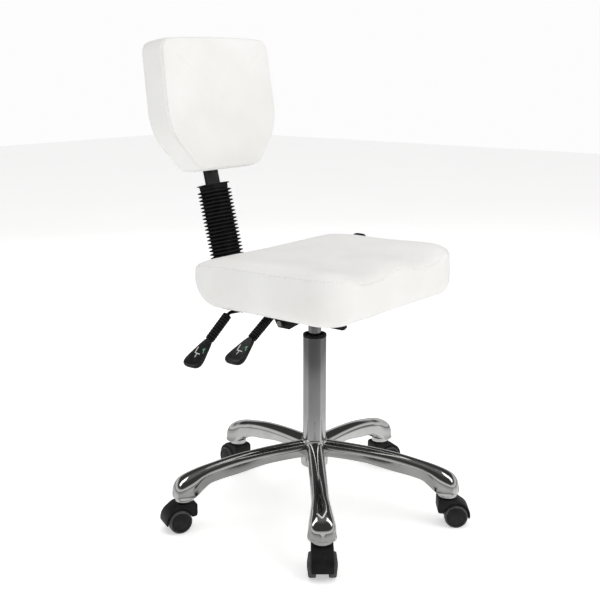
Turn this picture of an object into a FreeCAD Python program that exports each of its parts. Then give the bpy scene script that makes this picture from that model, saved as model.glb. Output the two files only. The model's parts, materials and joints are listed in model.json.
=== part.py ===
"""Pedicure stool: five-arm caster base, gas lift, three-lever mechanism, seat and height-adjustable backrest.

Frame: millimetres, +Z up, origin on the column's axis at floor level. The sitter faces -Y.
"""

import FreeCAD, Part
import math
import os
import re

import Sketcher
from FreeCAD import Placement, Rotation, Vector

ARMS = 5
ARM_STEP = 72
SHEET = "Dims"

# alias, value (millimetres or degrees), what it measures
DIMENSIONS = [
    ("wheel_radius", 25, "caster wheel, over the tread"),
    ("tread_depth", 4.5, "soft tread on the wheel's hub"),
    ("wheel_inside", 12.5, "caster centre plane to a wheel's inner face"),
    ("wheel_outside", 30, "caster centre plane to a wheel's outer face"),
    ("wheel_shoulder", 4, "rounding of a wheel's outer edge"),
    ("axle_radius", 4, "caster axle"),
    ("caster_trail", 17, "stem axis to axle"),
    ("hood_radius", 31, "outside of the hood, about the axle"),
    ("hood_shell", 4.5, "thickness of the hood over the wheels"),
    ("hood_half_width", 22, "half the hood's width"),
    ("web_half_width", 12, "half the web between the wheels"),
    ("hood_top", 62, "top of the hood's neck"),
    ("hood_tail", 19, "lowest point of the hood behind the wheels"),
    ("neck_front", 22, "stem axis to the neck's front face"),
    ("stem_radius", 5.5, "caster stem"),
    ("stem_foot", 36, "lower end of the stem"),
    ("stem_top", 100, "upper end of the stem"),
    ("collar_radius", 10, "collar on the stem"),
    ("collar_foot", 62.4, "underside of the collar"),
    ("running_gap", 0.05, "radial clearance of a running fit"),
    ("base_turn", -139.28, "angle of the first arm from +X"),
    ("caster_turn_a", -141, "trail direction of caster 1"),
    ("caster_turn_b", -52, "trail direction of caster 2"),
    ("caster_turn_c", -25, "trail direction of caster 3"),
    ("caster_turn_d", 76, "trail direction of caster 4"),
    ("caster_turn_e", 155, "trail direction of caster 5"),
    ("stem_circle", 296, "column axis to a caster's stem"),
    ("boss_foot", 72, "lower rim of the arm's end boss"),
    ("boss_ring_radius", 19.5, "ring under that rim, round the stem"),
    ("boss_ring_foot", 64, "underside of the ring"),
    ("arm_root", 22, "radius where an arm starts in the hub"),
    ("arm_middle", 170, "radius of the arm's middle section"),
    ("arm_shoulder", 262, "radius where the arm turns down"),
    ("arm_tip", 318, "end of the arm"),
    ("arm_root_half_width", 19, "half the arm's width at the hub"),
    ("arm_middle_half_width", 18, "half the arm's width at its middle"),
    ("arm_boss_half_width", 29, "half the arm's width over the boss"),
    ("arm_root_top", 162, "arm's crest at the hub"),
    ("arm_middle_top", 150, "arm's crest at its middle"),
    ("arm_shoulder_top", 131, "arm's crest where it turns down"),
    ("arm_boss_top", 117, "arm's crest over the boss"),
    ("arm_tip_top", 91, "arm's crest at its end"),
    ("arm_root_foot", 126, "arm's lower edge at the hub"),
    ("arm_middle_foot", 116, "arm's lower edge at its middle"),
    ("arm_shoulder_foot", 88, "arm's lower edge where it turns down"),
    ("arm_wall", 4, "wall of the arm's hollow section"),
    ("arm_crown", 9, "crest to the hollow under it"),
    ("hub_radius", 29.5, "hub of the base"),
    ("hub_neck_radius", 27.6, "hub's upper rim round the tube"),
    ("hub_foot", 104, "underside of the hub"),
    ("hub_shoulder", 148, "where the hub narrows to its rim"),
    ("hub_top", 165, "hub's upper rim"),
    ("tube_radius", 25, "outer tube of the gas lift"),
    ("tube_taper", 0.8, "how much narrower the tube's foot is"),
    ("tube_foot", 104, "lower end of the outer tube"),
    ("tube_floor", 4, "thickness of the tube's end plate"),
    ("tube_top", 396, "upper end of the outer tube"),
    ("tube_wall", 1.75, "wall of the outer tube"),
    ("bush_foot", 330, "lower end of the guide bushing"),
    ("bush_top", 403, "top of the guide bushing's ring"),
    ("bush_ring_radius", 25.4, "ring of the guide bushing"),
    ("bush_ring_lip", 21.5, "inside of the raised ring"),
    ("bush_dish", 3, "depth of the dish inside the ring"),
    ("rod_radius", 5, "piston rod"),
    ("rod_foot", 98, "lower end of the piston rod"),
    ("clip_radius", 9, "clip under the tube's end plate"),
    ("clip_foot", 100.5, "underside of the clip"),
    ("clip_thickness", 3, "thickness of the clip"),
    ("race_radius", 15, "thrust bearing"),
    ("race_height", 8, "thickness of the thrust bearing"),
    ("buffer_radius", 19, "rubber buffer"),
    ("buffer_foot", 116.4, "underside of the buffer"),
    ("buffer_top", 127, "top of the buffer"),
    ("piston_foot", 335, "underside of the piston"),
    ("piston_top", 347, "top of the piston"),
    ("piston_radius", 12.35, "piston"),
    ("lift_radius", 14, "gas cylinder"),
    ("lift_foot", 129, "lower end of the gas cylinder"),
    ("lift_seal_top", 152, "top of the seal pack in the cylinder's foot"),
    ("lift_bore", 12.4, "inside of the gas cylinder"),
    ("lift_head", 420, "top of the gas space"),
    ("taper_foot", 424, "lower end of the cylinder's taper"),
    ("taper_top", 455, "upper end of the cylinder's taper"),
    ("taper_loss", 0.8, "how much the radius falls over the taper"),
    ("valve_radius", 3, "valve pin"),
    ("valve_foot", 400, "lower end of the valve pin"),
    ("valve_top", 460.6, "top of the valve pin"),
    ("socket_radius", 20, "taper socket"),
    ("housing_half_width", 58, "mechanism housing, over its walls"),
    ("sheet_steel", 3, "sheet of the housing and its ears"),
    ("housing_floor", 440, "underside of the housing's floor"),
    ("housing_top", 472, "top edge of the housing's walls"),
    ("housing_front", -121, "front of the housing's nose"),
    ("housing_rear", 118, "rear end of the housing's walls"),
    ("floor_rear", 27, "rear edge of the housing's floor"),
    ("nose_flange", 9, "flange at the nose's lower left corner"),
    ("nose_rise", 10, "how much lower the nose is there than elsewhere"),
    ("dip_front", 24, "front of the dip round the back pivot"),
    ("dip_rear", 60, "rear of the dip round the back pivot"),
    ("dip_foot", 419, "lowest edge of the housing's walls"),
    ("shaft_radius", 6, "pivot shafts"),
    ("shaft_half_length", 67, "half the length of a pivot shaft"),
    ("seat_pivot_y", -95, "seat pivot"),
    ("seat_pivot_z", 462, "seat pivot"),
    ("back_pivot_y", 44, "back pivot"),
    ("back_pivot_z", 430, "back pivot"),
    ("clamp_radius", 4, "clamp bolts"),
    ("clamp_head_radius", 6.5, "head of a clamp bolt"),
    ("clamp_head", 5, "thickness of a clamp bolt's head"),
    ("clamp_shank", 17, "length of the seat's clamp bolt"),
    ("slot_play", 0.4, "play of a clamp bolt in its slot"),
    ("back_clamp_reach", 38, "back pivot to its clamp bolt"),
    ("back_clamp_angle", 30, "direction of the back's clamp bolt from +Y"),
    ("back_forward", 10, "how far the back tilts forward"),
    ("back_rearward", 12, "how far the back tilts rearward"),
    ("seat_clamp_reach", 175.4, "seat pivot to its clamp bolt"),
    ("seat_clamp_drop", 4, "angle of the seat's clamp bolt below +Y"),
    ("seat_rise", 8, "how far the seat tilts"),
    ("lug_margin", 8, "metal round a slot"),
    ("hinge_x", 72, "centre plane to a lever's pin"),
    ("hinge_z", 463, "height of a lever's pin"),
    ("hinge_radius", 7.5, "lever's hub"),
    ("hinge_half_width", 6, "half the width of a lever's hub"),
    ("ear_gap", 0.4, "lever's hub to an ear beside it"),
    ("ear_reach", 81, "centre plane to the end of an ear"),
    ("ear_foot", 456, "underside of an ear"),
    ("ear_top", 471, "top of an ear"),
    ("pin_radius", 3, "lever's pin"),
    ("pin_half_length", 11, "half the length of a lever's pin"),
    ("finger_foot", 461, "underside of the lift lever's finger"),
    ("finger_top", 466, "top of the lift lever's finger"),
    ("finger_reach", 7, "finger's end beyond the column's axis"),
    ("lever_rod_radius", 3.5, "lever rod"),
    ("lift_lever_y", 0, "lift lever's plane"),
    ("lift_lever_elbow_x", 140, "centre plane to the lift lever's elbow"),
    ("lift_lever_elbow_z", 474, "height of the lift lever's elbow"),
    ("lift_lever_droop", 31, "fall of the lift lever beyond its elbow"),
    ("back_lock_lever_y", 84, "back lock lever's plane"),
    ("back_lock_lever_elbow_x", 178, "centre plane to the back lock lever's elbow"),
    ("back_lock_lever_elbow_z", 470, "height of the back lock lever's elbow"),
    ("back_lock_lever_droop", 36.5, "fall of the back lock lever beyond its elbow"),
    ("seat_lock_lever_y", 105, "seat lock lever's plane"),
    ("seat_lock_lever_elbow_x", 226, "centre plane to the seat lock lever's elbow"),
    ("seat_lock_lever_elbow_z", 466, "height of the seat lock lever's elbow"),
    ("seat_lock_lever_droop", -48, "fall of the seat lock lever beyond its elbow"),
    ("lever_bend", 16, "bend radius of a lever rod"),
    ("sleeve_radius", 9.5, "ridged rubber sleeve on a lever"),
    ("sleeve_start", 8, "elbow to the sleeve's upper end"),
    ("sleeve_end", 74, "elbow to the sleeve's lower end"),
    ("rod_grip", 12, "length of the rod inside the paddle"),
    ("paddle_end", 140, "elbow to the paddle's tip"),
    ("paddle_neck_half_width", 7, "half the paddle's width at its neck"),
    ("paddle_half_width", 19, "half the paddle's greatest width"),
    ("paddle_thickness", 10, "paddle"),
    ("seat_plate_foot", 476, "underside of the seat plate"),
    ("seat_plate_top", 480, "top of the seat plate"),
    ("seat_plate_half_width", 78, "half the seat plate's width"),
    ("seat_plate_half_length", 117, "half the seat plate's length"),
    ("ear_inside", 61, "centre plane to the seat plate's ears"),
    ("rail_half_length", 192, "half the length of a seat rail"),
    ("rail_width", 55, "width of a seat rail"),
    ("rail_thickness", 5, "thickness of a seat rail"),
    ("front_rail_y", -110, "front edge of the front rail"),
    ("rear_rail_y", 35, "front edge of the rear rail"),
    ("seat_bolt_x", 150, "seat bolts from the centre plane"),
    ("bolt_radius", 4, "seat and back bolts"),
    ("bolt_hole_radius", 4.2, "their holes"),
    ("bolt_head_radius", 7, "their heads"),
    ("bolt_head", 4.5, "thickness of their heads"),
    ("seat_half_width", 226, "half the seat's width"),
    ("seat_front", -218, "front of the seat"),
    ("seat_rear", 140, "rear of the seat"),
    ("seat_foot", 486, "underside of the seat cushion"),
    ("seat_top", 586, "top of the seat cushion"),
    ("seat_corner", 57, "radius of the seat's front corners in plan"),
    ("seat_rear_corner", 22, "radius of its rear corners in plan"),
    ("rear_slope_depth", 38, "depth of the slope under the seat's rear edge"),
    ("rear_slope_height", 34, "height of that slope"),
    ("seat_edge", 14, "rounding of the seat's upper edge"),
    ("seat_under_edge", 16, "rounding of the seat's lower edge"),
    ("board_inset", 20, "seat edge to the board in it"),
    ("board_thickness", 12, "plywood boards"),
    ("cover_thickness", 1, "cloth under the seat"),
    ("mast_tilt", 14.1, "backward lean of the upright"),
    ("mast_y", 229.5, "foot of the upright's axis"),
    ("mast_z", 455, "foot of the upright's axis"),
    ("arm_bar_width", 50, "flat bar that carries the back"),
    ("arm_bar_thickness", 8, "flat bar that carries the back"),
    ("arm_bar_bend", 42, "bend radius of that bar"),
    ("arm_bar_end", 44, "mast foot to the bar's end"),
    ("knuckle_radius", 11, "tube round the back pivot"),
    ("knuckle_half_length", 50, "half the length of that tube"),
    ("guide_half_width", 23, "half the guide tube's width"),
    ("guide_half_depth", 8, "half the guide tube's depth"),
    ("guide_wall", 2.5, "wall of the guide tube"),
    ("guide_foot", 11, "mast foot to the guide tube's lower end"),
    ("guide_top", 160, "mast foot to the guide tube's upper end"),
    ("bar_half_width", 20, "half the upright's width"),
    ("bar_half_depth", 4, "half the upright's depth"),
    ("bar_foot", 56, "mast foot to the upright's lower end"),
    ("bar_bend", 288, "mast foot to the bend in the upright"),
    ("bar_start", 9, "lower end of its upper run, up the cushion"),
    ("bar_top", 128, "upper end of the upright, up the cushion"),
    ("bellows_half_width", 37, "half the bellows' width"),
    ("bellows_half_depth", 30, "half the bellows' depth"),
    ("bellows_corner", 21, "corner radius of the bellows"),
    ("bellows_wall", 9, "wall of the bellows, ridges included"),
    ("bellows_foot", 46, "mast foot to the bellows' lower end"),
    ("bellows_top", 255, "mast foot to the bellows' upper end"),
    ("pad_tilt", 8, "backward lean of the back cushion"),
    ("pad_y", 233, "front seam plane of the back cushion"),
    ("pad_z", 730, "height where that plane is measured"),
    ("pad_front", -10, "front crown of the back cushion"),
    ("pad_rear", 61.5, "rear face of the back cushion"),
    ("pad_foot", 14, "lower edge of the back cushion"),
    ("pad_waist", 101, "height where it is widest"),
    ("pad_top", 296, "upper edge of the back cushion"),
    ("pad_foot_half_width", 96, "half its width at the bottom"),
    ("pad_waist_half_width", 174, "half its width at the waist"),
    ("pad_top_half_width", 167, "half its width at the top"),
    ("pad_foot_corner", 36, "rounding of its lower corners"),
    ("pad_waist_corner", 120, "rounding at its waist"),
    ("pad_top_corner", 28, "rounding of its upper corners"),
    ("pad_edge", 13, "rounding of its front edge"),
    ("pad_skin", 2, "cover behind the board"),
    ("pad_board_inset", 24, "cushion outline to the board in it"),
    ("back_bolt_low", 52, "lower back bolt, up the cushion"),
    ("back_bolt_high", 104, "upper back bolt, up the cushion"),
]
SIZE = {alias: value for alias, value, _ in DIMENSIONS}

doc = FreeCAD.newDocument("PedicureStool")
subparts = []


def write_sheet():
    """Put every driving dimension in a named cell of the document's spreadsheet."""
    sheet = doc.addObject("Spreadsheet::Sheet", SHEET)
    for row, (alias, value, meaning) in enumerate(DIMENSIONS, start=1):
        sheet.set(f"A{row}", meaning)
        sheet.set(f"B{row}", str(value))
        sheet.setAlias(f"B{row}", alias)
    doc.recompute()
    return sheet


def formula(text):
    """Turn an arithmetic expression of dimension names into one that reads the spreadsheet."""

    def named(match):
        word = match.group(0)
        return f"{SHEET}.{word}" if word in SIZE else word

    return re.sub(r"[a-z][a-z_]*", named, text)


def bind(obj, **fields):
    """Bind properties to expressions; a double underscore stands for a dot in the path."""
    for field, text in fields.items():
        obj.setExpression(field.replace("__", "."), formula(text))
    return obj


def place(obj, at=("0", "0", "0"), axis=None, angle="0"):
    """Place an object by expressions, turned about an axis through its own origin."""
    if axis is not None:
        obj.Placement = Placement(Vector(), Rotation(Vector(*axis), 1))
        obj.setExpression("Placement.Rotation.Angle", formula(angle))
    for letter, text in zip("xyz", at):
        obj.setExpression(f"Placement.Base.{letter}", formula(text))
    return obj


def subpart(obj, label):
    """Name an object as one of the stool's separate pieces."""
    obj.Label = label
    subparts.append(obj)
    return obj


LYING = {"x": ((0, 1, 0), "90"), "y": ((1, 0, 0), "-90"), "z": (None, "0")}


def cylinder(radius, length, at=("0", "0", "0"), along="z"):
    obj = doc.addObject("Part::Cylinder", "Cylinder")
    bind(obj, Radius=radius, Height=length)
    axis, angle = LYING[along]
    return place(obj, at, axis, angle)


def sector(radius, length, start, sweep, at):
    """A wedge of a cylinder along +X, its angles counted from +Y towards +Z."""
    obj = doc.addObject("Part::Cylinder", "Sector")
    bind(obj, Radius=radius, Height=length, Angle=sweep)
    # The cylinder's own axis goes to +X and its start direction to +Y.
    obj.Placement = Placement(Vector(), Rotation(Vector(0, 1, 0), Vector(0, 0, 1), Vector(1, 0, 0), "ZXY"))
    turned = doc.addObject("Part::Compound", "Turned")
    turned.Links = [obj]
    return place(turned, at, (1, 0, 0), start)


def box(size, at):
    obj = doc.addObject("Part::Box", "Box")
    bind(obj, Length=size[0], Width=size[1], Height=size[2])
    return place(obj, at)


def fuse(*shapes):
    obj = doc.addObject("Part::MultiFuse", "Fuse")
    obj.Shapes = list(shapes)
    return obj


def cut(base, *tools):
    obj = doc.addObject("Part::Cut", "Cut")
    obj.Base = base
    obj.Tool = tools[0] if len(tools) == 1 else fuse(*tools)
    return obj


def group(*shapes):
    obj = doc.addObject("Part::Compound", "Group")
    obj.Links = list(shapes)
    return obj


def new_body():
    return doc.addObject("PartDesign::Body", "Body")


def origin_feature(body, role):
    return next(feature for feature in body.Origin.OriginFeatures if feature.Role == role)


def pin_point(sketch, kind, axis, line, text):
    """Hold a line's start on an axis, or at a bound distance from it."""
    if text == "0":
        sketch.addConstraint(Sketcher.Constraint("PointOnObject", line, 1, axis))
        return
    index = sketch.addConstraint(Sketcher.Constraint(kind, -1, 1, line, 1, 1.0))
    sketch.setExpression(f"Constraints[{index}]", formula(text))


def outline(body, plane, corners, offset="0"):
    """A closed polygon in a body, each corner bound to expressions."""
    sketch = body.newObject("Sketcher::SketchObject", "Outline")
    sketch.AttachmentSupport = (origin_feature(body, plane), [""])
    sketch.MapMode = "FlatFace"
    sketch.setExpression("AttachmentOffset.Base.z", formula(offset))
    count = len(corners)
    turn = 2 * math.pi / count
    start = [Vector(50 * math.cos(i * turn), 50 * math.sin(i * turn), 0) for i in range(count)]
    for i in range(count):
        sketch.addGeometry(Part.LineSegment(start[i], start[(i + 1) % count]), False)
    for i in range(count):
        sketch.addConstraint(Sketcher.Constraint("Coincident", i, 2, (i + 1) % count, 1))
    for i, (across, up) in enumerate(corners):
        pin_point(sketch, "DistanceX", -2, i, across)
        pin_point(sketch, "DistanceY", -1, i, up)
    return sketch


def pad(body, sketch, length, middle=False):
    feature = body.newObject("PartDesign::Pad", "Pad")
    feature.Profile = sketch
    bind(feature, Length=length)
    feature.Midplane = middle
    return feature


def pocket(body, sketch, length, middle=False, flip=False):
    feature = body.newObject("PartDesign::Pocket", "Pocket")
    feature.Profile = sketch
    bind(feature, Length=length)
    feature.Midplane = middle
    feature.Reversed = flip
    return feature


def revolve(corners):
    """A body turned about Z from a half profile of (radius, height) corners."""
    body = new_body()
    sketch = outline(body, "XZ_Plane", corners)
    feature = body.newObject("PartDesign::Revolution", "Revolution")
    feature.Profile = sketch
    feature.ReferenceAxis = (sketch, ["V_Axis"])
    feature.Angle = 360
    return body


def round_edges(body, radius, wanted):
    """Round the edges of a body's newest feature that pass a test."""
    doc.recompute()
    base = body.Tip
    names = [f"Edge{i}" for i, edge in enumerate(base.Shape.Edges, start=1) if wanted(edge)]
    feature = body.newObject("PartDesign::Fillet", "Fillet")
    feature.Base = (base, names)
    bind(feature, Radius=radius)
    return feature


def ends(edge):
    return edge.Vertexes[0].Point, edge.Vertexes[-1].Point


def upright_edge(edge):
    low, high = ends(edge)
    return abs(low.x - high.x) < 0.01 and abs(low.y - high.y) < 0.01 and abs(low.z - high.z) > 0.5


def level_edge_at(height):
    def test(edge):
        return all(abs(vertex.Point.z - height) < 0.01 for vertex in edge.Vertexes)

    return test


def bent_path(points, radius):
    """Straight runs joined by tangent arcs of one radius."""
    edges = []
    last = points[0]
    for before, corner, after in zip(points, points[1:], points[2:]):
        inward = (before - corner).normalize()
        outward = (after - corner).normalize()
        half_turn = (math.pi - inward.getAngle(outward)) / 2
        reach = radius * math.tan(half_turn)
        bisector = (inward + outward).normalize()
        arc_start = corner + inward * reach
        arc_end = corner + outward * reach
        arc_middle = corner + bisector * (radius / math.cos(half_turn) - radius)
        edges.append(Part.LineSegment(last, arc_start).toShape())
        edges.append(Part.Arc(arc_start, arc_middle, arc_end).toShape())
        last = arc_end
    edges.append(Part.LineSegment(last, points[-1]).toShape())
    return Part.Wire(edges)


def caster_place(obj, arm):
    """Put a part made about a stem's axis at the end of an arm, turned to its trail."""
    angle = f"(base_turn + {ARM_STEP * arm})"
    at = (f"stem_circle * cos({angle})", f"stem_circle * sin({angle})", "0")
    return place(obj, at, (0, 0, 1), "caster_turn_" + "abcde"[arm])


# ---------------------------------------------------------------- base


def arm_section(body, radius, half_width, top, foot):
    """One cross-section of an arm: a narrow crest, rounded shoulders and upright sides."""
    side = [("0.38", "0"), ("0.85", "7"), ("1", "20")]
    right = [(f"{share} * {half_width}", f"{top} - {drop}") for share, drop in side]
    right.append((f"0.9 * {half_width}", foot))
    left = [(f"0 - {across}", up) for across, up in reversed(right)]
    return outline(body, "YZ_Plane", right + left, radius)


def channel_section(body, radius, half_width, top, foot):
    half = f"{half_width} - arm_wall"
    corners = [
        (f"0.8 * ({half})", f"{top} - arm_crown"),
        (half, f"{foot} - 1"),
        (f"0 - ({half})", f"{foot} - 1"),
        (f"0 - 0.8 * ({half})", f"{top} - arm_crown"),
    ]
    return outline(body, "YZ_Plane", corners, radius)


def loft(body, kind, sections):
    feature = body.newObject(kind, "Loft")
    feature.Profile = sections[0]
    feature.Sections = sections[1:]
    feature.Ruled = True
    return feature


def make_star_base():
    """Die-cast five-arm base: hub with a tapered bore, hollow arms and a boss at each end."""
    body = new_body()
    hub = [
        ("tube_radius - tube_taper", "hub_foot"),
        ("hub_radius", "hub_foot"),
        ("hub_radius", "hub_shoulder"),
        ("hub_neck_radius", "hub_top"),
        ("tube_radius", "hub_top"),
    ]
    sketch = outline(body, "XZ_Plane", hub)
    turned = body.newObject("PartDesign::Revolution", "Hub")
    turned.Profile = sketch
    turned.ReferenceAxis = (sketch, ["V_Axis"])
    turned.Angle = 360
    hollow = outline(
        body,
        "XZ_Plane",
        [
            ("0", "hub_foot - 20"),
            ("tube_radius - tube_taper", "hub_foot - 20"),
            ("tube_radius - tube_taper", "hub_foot"),
            ("tube_radius", "hub_top"),
            ("0", "hub_top"),
        ],
    )
    stations = [
        ("arm_root", "arm_root_half_width", "arm_root_top", "arm_root_foot"),
        ("arm_middle", "arm_middle_half_width", "arm_middle_top", "arm_middle_foot"),
        ("arm_middle + 60", "arm_middle_half_width", "arm_middle_top - 9", "arm_middle_foot - 12"),
        ("arm_shoulder", "arm_middle_half_width * 1.15", "arm_shoulder_top", "arm_shoulder_foot"),
        ("arm_shoulder + 16", "arm_boss_half_width * 0.9", "arm_shoulder_top - 6", "boss_foot + 4"),
        ("stem_circle + 2", "arm_boss_half_width", "arm_boss_top", "boss_foot"),
        ("arm_tip - 5", "arm_boss_half_width * 0.9", "arm_tip_top + 12", "boss_foot"),
        ("arm_tip", "arm_boss_half_width * 0.7", "arm_tip_top", "boss_foot"),
    ]
    arm = loft(body, "PartDesign::AdditiveLoft", [arm_section(body, *row) for row in stations])
    inside = [
        ("hub_radius + 6", "arm_root_half_width", "arm_root_top", "arm_root_foot"),
        ("arm_middle", "arm_middle_half_width", "arm_middle_top", "arm_middle_foot"),
        ("arm_middle + 60", "arm_middle_half_width", "arm_middle_top - 9", "arm_middle_foot - 12"),
        ("arm_shoulder", "arm_middle_half_width", "arm_shoulder_top", "arm_shoulder_foot"),
    ]
    channel = loft(body, "PartDesign::SubtractiveLoft", [channel_section(body, *row) for row in inside])
    pattern = body.newObject("PartDesign::PolarPattern", "Arms")
    pattern.Originals = [arm, channel]
    pattern.Axis = (origin_feature(body, "Z_Axis"), [""])
    pattern.Angle = 360
    pattern.Occurrences = ARMS
    body.Tip = pattern
    bore = body.newObject("PartDesign::Groove", "Bore")
    bore.Profile = hollow
    bore.ReferenceAxis = (hollow, ["V_Axis"])
    bore.Angle = 360
    body.Tip = bore
    place(body, axis=(0, 0, 1), angle="base_turn")
    holes, rings = [], []
    for arm in range(ARMS):
        hole = cylinder("stem_radius", "stem_top - boss_ring_foot + 2", ("0", "0", "boss_ring_foot - 2"))
        holes.append(caster_place(group(hole), arm))
        ring = cylinder("boss_ring_radius", "boss_foot - boss_ring_foot + 2", ("0", "0", "boss_ring_foot"))
        rings.append(caster_place(group(ring), arm))
    subpart(cut(fuse(body, *rings), *holes), "star_base")


def make_caster(arm):
    """Twin-wheel caster about its stem's axis, trailing along local +X."""
    name = f"caster_{arm + 1}"
    axle_at = ("caster_trail", "0 - hood_half_width", "wheel_radius")
    drum = cylinder("hood_radius", "2 * hood_half_width", axle_at, "y")
    neck = box(
        ("neck_front + caster_trail", "2 * hood_half_width", "hood_top - wheel_radius - 4"),
        ("0 - neck_front", "0 - hood_half_width", "wheel_radius + 4"),
    )
    wheel_room = [
        cylinder(
            "hood_radius - hood_shell",
            "hood_half_width - web_half_width + 1",
            ("caster_trail", start, "wheel_radius"),
            "y",
        )
        for start in ("web_half_width", "0 - hood_half_width - 1")
    ]
    underside = box(
        ("3 * hood_radius", "2 * hood_half_width + 2", "hood_tail + 20"),
        ("0 - hood_radius", "0 - hood_half_width - 1", "0 - 20"),
    )
    axle_hole = cylinder("axle_radius", "2 * hood_half_width", axle_at, "y")
    stem_hole = cylinder("stem_radius + running_gap", "hood_top - stem_foot + 2", ("0", "0", "stem_foot - 1"))
    hood = cut(fuse(drum, neck), *wheel_room, underside, axle_hole, stem_hole)
    subpart(caster_place(hood, arm), f"{name}_hood")

    axle = cylinder(
        "axle_radius",
        "2 * wheel_outside - 8",
        ("caster_trail", "0 - wheel_outside + 4", "wheel_radius"),
        "y",
    )
    subpart(caster_place(group(axle), arm), f"{name}_axle")

    rim = "wheel_radius - tread_depth"
    hub_profile = [
        ("axle_radius + running_gap", "wheel_inside"),
        (rim, "wheel_inside"),
        (rim, "wheel_outside - wheel_shoulder"),
        (f"{rim} - 1.5", "wheel_outside - 1"),
        ("0", "wheel_outside"),
        ("0", "wheel_outside - 3.5"),
        ("axle_radius + running_gap", "wheel_outside - 3.5"),
    ]
    tread_profile = [
        (rim, "wheel_inside"),
        ("wheel_radius - 1", "wheel_inside"),
        ("wheel_radius", "wheel_inside + 1.5"),
        ("wheel_radius", "wheel_outside - wheel_shoulder - 2"),
        ("wheel_radius - 2", "wheel_outside - wheel_shoulder"),
        (rim, "wheel_outside - wheel_shoulder"),
    ]
    for side, angle in (("left", "-90"), ("right", "90")):
        wheel = group(revolve(hub_profile), revolve(tread_profile))
        place(wheel, ("caster_trail", "0", "wheel_radius"), (1, 0, 0), angle)
        subpart(caster_place(group(wheel), arm), f"{name}_wheel_{side}")


def make_stems():
    """Plain steel stems, pressed into the arms' bosses; the hoods turn on them."""
    stems = []
    for arm in range(ARMS):
        shank = cylinder("stem_radius", "stem_top - stem_foot", ("0", "0", "stem_foot"))
        collar = cylinder("collar_radius", "boss_ring_foot - collar_foot", ("0", "0", "collar_foot"))
        stems.append(caster_place(fuse(shank, collar), arm))
    subpart(group(*stems), "caster_stems")


# ---------------------------------------------------------------- gas lift


def make_gas_lift():
    """Tapered outer tube, guide bushing, piston rod on its bearing, and the moving cylinder."""
    inside = "tube_radius - tube_wall"
    tube = [
        ("rod_radius + 0.4", "tube_foot"),
        ("tube_radius - tube_taper", "tube_foot"),
        ("tube_radius", "hub_top"),
        ("tube_radius", "tube_top"),
        (inside, "tube_top"),
        (inside, "hub_top"),
        (f"{inside} - tube_taper", "tube_foot + tube_floor"),
        ("rod_radius + 0.4", "tube_foot + tube_floor"),
    ]
    subpart(revolve(tube), "outer_tube")

    bushing = [
        ("lift_radius + running_gap", "bush_foot"),
        (inside, "bush_foot"),
        (inside, "tube_top"),
        ("bush_ring_radius", "tube_top"),
        ("bush_ring_radius", "bush_top - 2"),
        ("bush_ring_radius - 1.5", "bush_top"),
        ("bush_ring_lip", "bush_top"),
        ("bush_ring_lip - 1", "bush_top - bush_dish"),
        ("lift_radius + running_gap", "bush_top - bush_dish"),
    ]
    subpart(revolve(bushing), "guide_bushing")

    bearing = [
        ("rod_radius + 0.5", "tube_foot + tube_floor"),
        ("race_radius", "tube_foot + tube_floor"),
        ("race_radius", "tube_foot + tube_floor + race_height * 0.3"),
        ("race_radius - 2", "tube_foot + tube_floor + race_height * 0.5"),
        ("race_radius", "tube_foot + tube_floor + race_height * 0.7"),
        ("race_radius", "tube_foot + tube_floor + race_height"),
        ("rod_radius + 0.5", "tube_foot + tube_floor + race_height"),
    ]
    subpart(revolve(bearing), "thrust_bearing")

    rod = [
        ("0", "rod_foot"),
        ("rod_radius - 1", "rod_foot"),
        ("rod_radius - 1", "rod_foot + 1"),
        ("rod_radius", "rod_foot + 2"),
        ("rod_radius", "piston_foot"),
        ("piston_radius", "piston_foot"),
        ("piston_radius", "piston_top"),
        ("0", "piston_top"),
    ]
    subpart(revolve(rod), "piston_rod")
    clip = cut(
        cylinder("clip_radius", "clip_thickness", ("0", "0", "clip_foot")),
        cylinder("rod_radius", "clip_thickness + 2", ("0", "0", "clip_foot - 1")),
        box(("clip_radius", "rod_radius", "clip_thickness"), ("0", "0 - rod_radius / 2", "clip_foot")),
    )
    subpart(clip, "rod_clip")
    buffer = [
        ("rod_radius", "buffer_foot"),
        ("buffer_radius - 3", "buffer_foot"),
        ("buffer_radius", "buffer_foot + 3"),
        ("buffer_radius", "buffer_top - 2"),
        ("buffer_radius - 2", "buffer_top"),
        ("rod_radius", "buffer_top"),
    ]
    subpart(revolve(buffer), "rubber_buffer")

    cylinder_profile = [
        ("rod_radius + running_gap", "lift_foot"),
        ("lift_radius", "lift_foot"),
        ("lift_radius", "taper_foot"),
        ("lift_radius - taper_loss", "taper_top"),
        ("valve_radius + running_gap", "taper_top"),
        ("valve_radius + running_gap", "lift_head"),
        ("lift_bore", "lift_head"),
        ("lift_bore", "lift_seal_top"),
        ("rod_radius + running_gap", "lift_seal_top"),
    ]
    subpart(revolve(cylinder_profile), "gas_cylinder")
    valve = [
        ("0", "valve_foot"),
        ("valve_radius", "valve_foot"),
        ("valve_radius", "valve_top - 0.8"),
        ("valve_radius - 0.8", "valve_top"),
        ("0", "valve_top"),
    ]
    subpart(revolve(valve), "valve_pin")


# ---------------------------------------------------------------- mechanism


def across(radius, half_length, y, z):
    """A cylinder along X, centred on the middle plane."""
    return cylinder(radius, f"2 * ({half_length})", (f"0 - ({half_length})", y, z), "x")


def back_clamp_at():
    return (
        "back_pivot_y + back_clamp_reach * cos(back_clamp_angle)",
        "back_pivot_z + back_clamp_reach * sin(back_clamp_angle)",
    )


def seat_clamp_at():
    return (
        "seat_pivot_y + seat_clamp_reach * cos(seat_clamp_drop)",
        "seat_pivot_z - seat_clamp_reach * sin(seat_clamp_drop)",
    )


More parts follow.
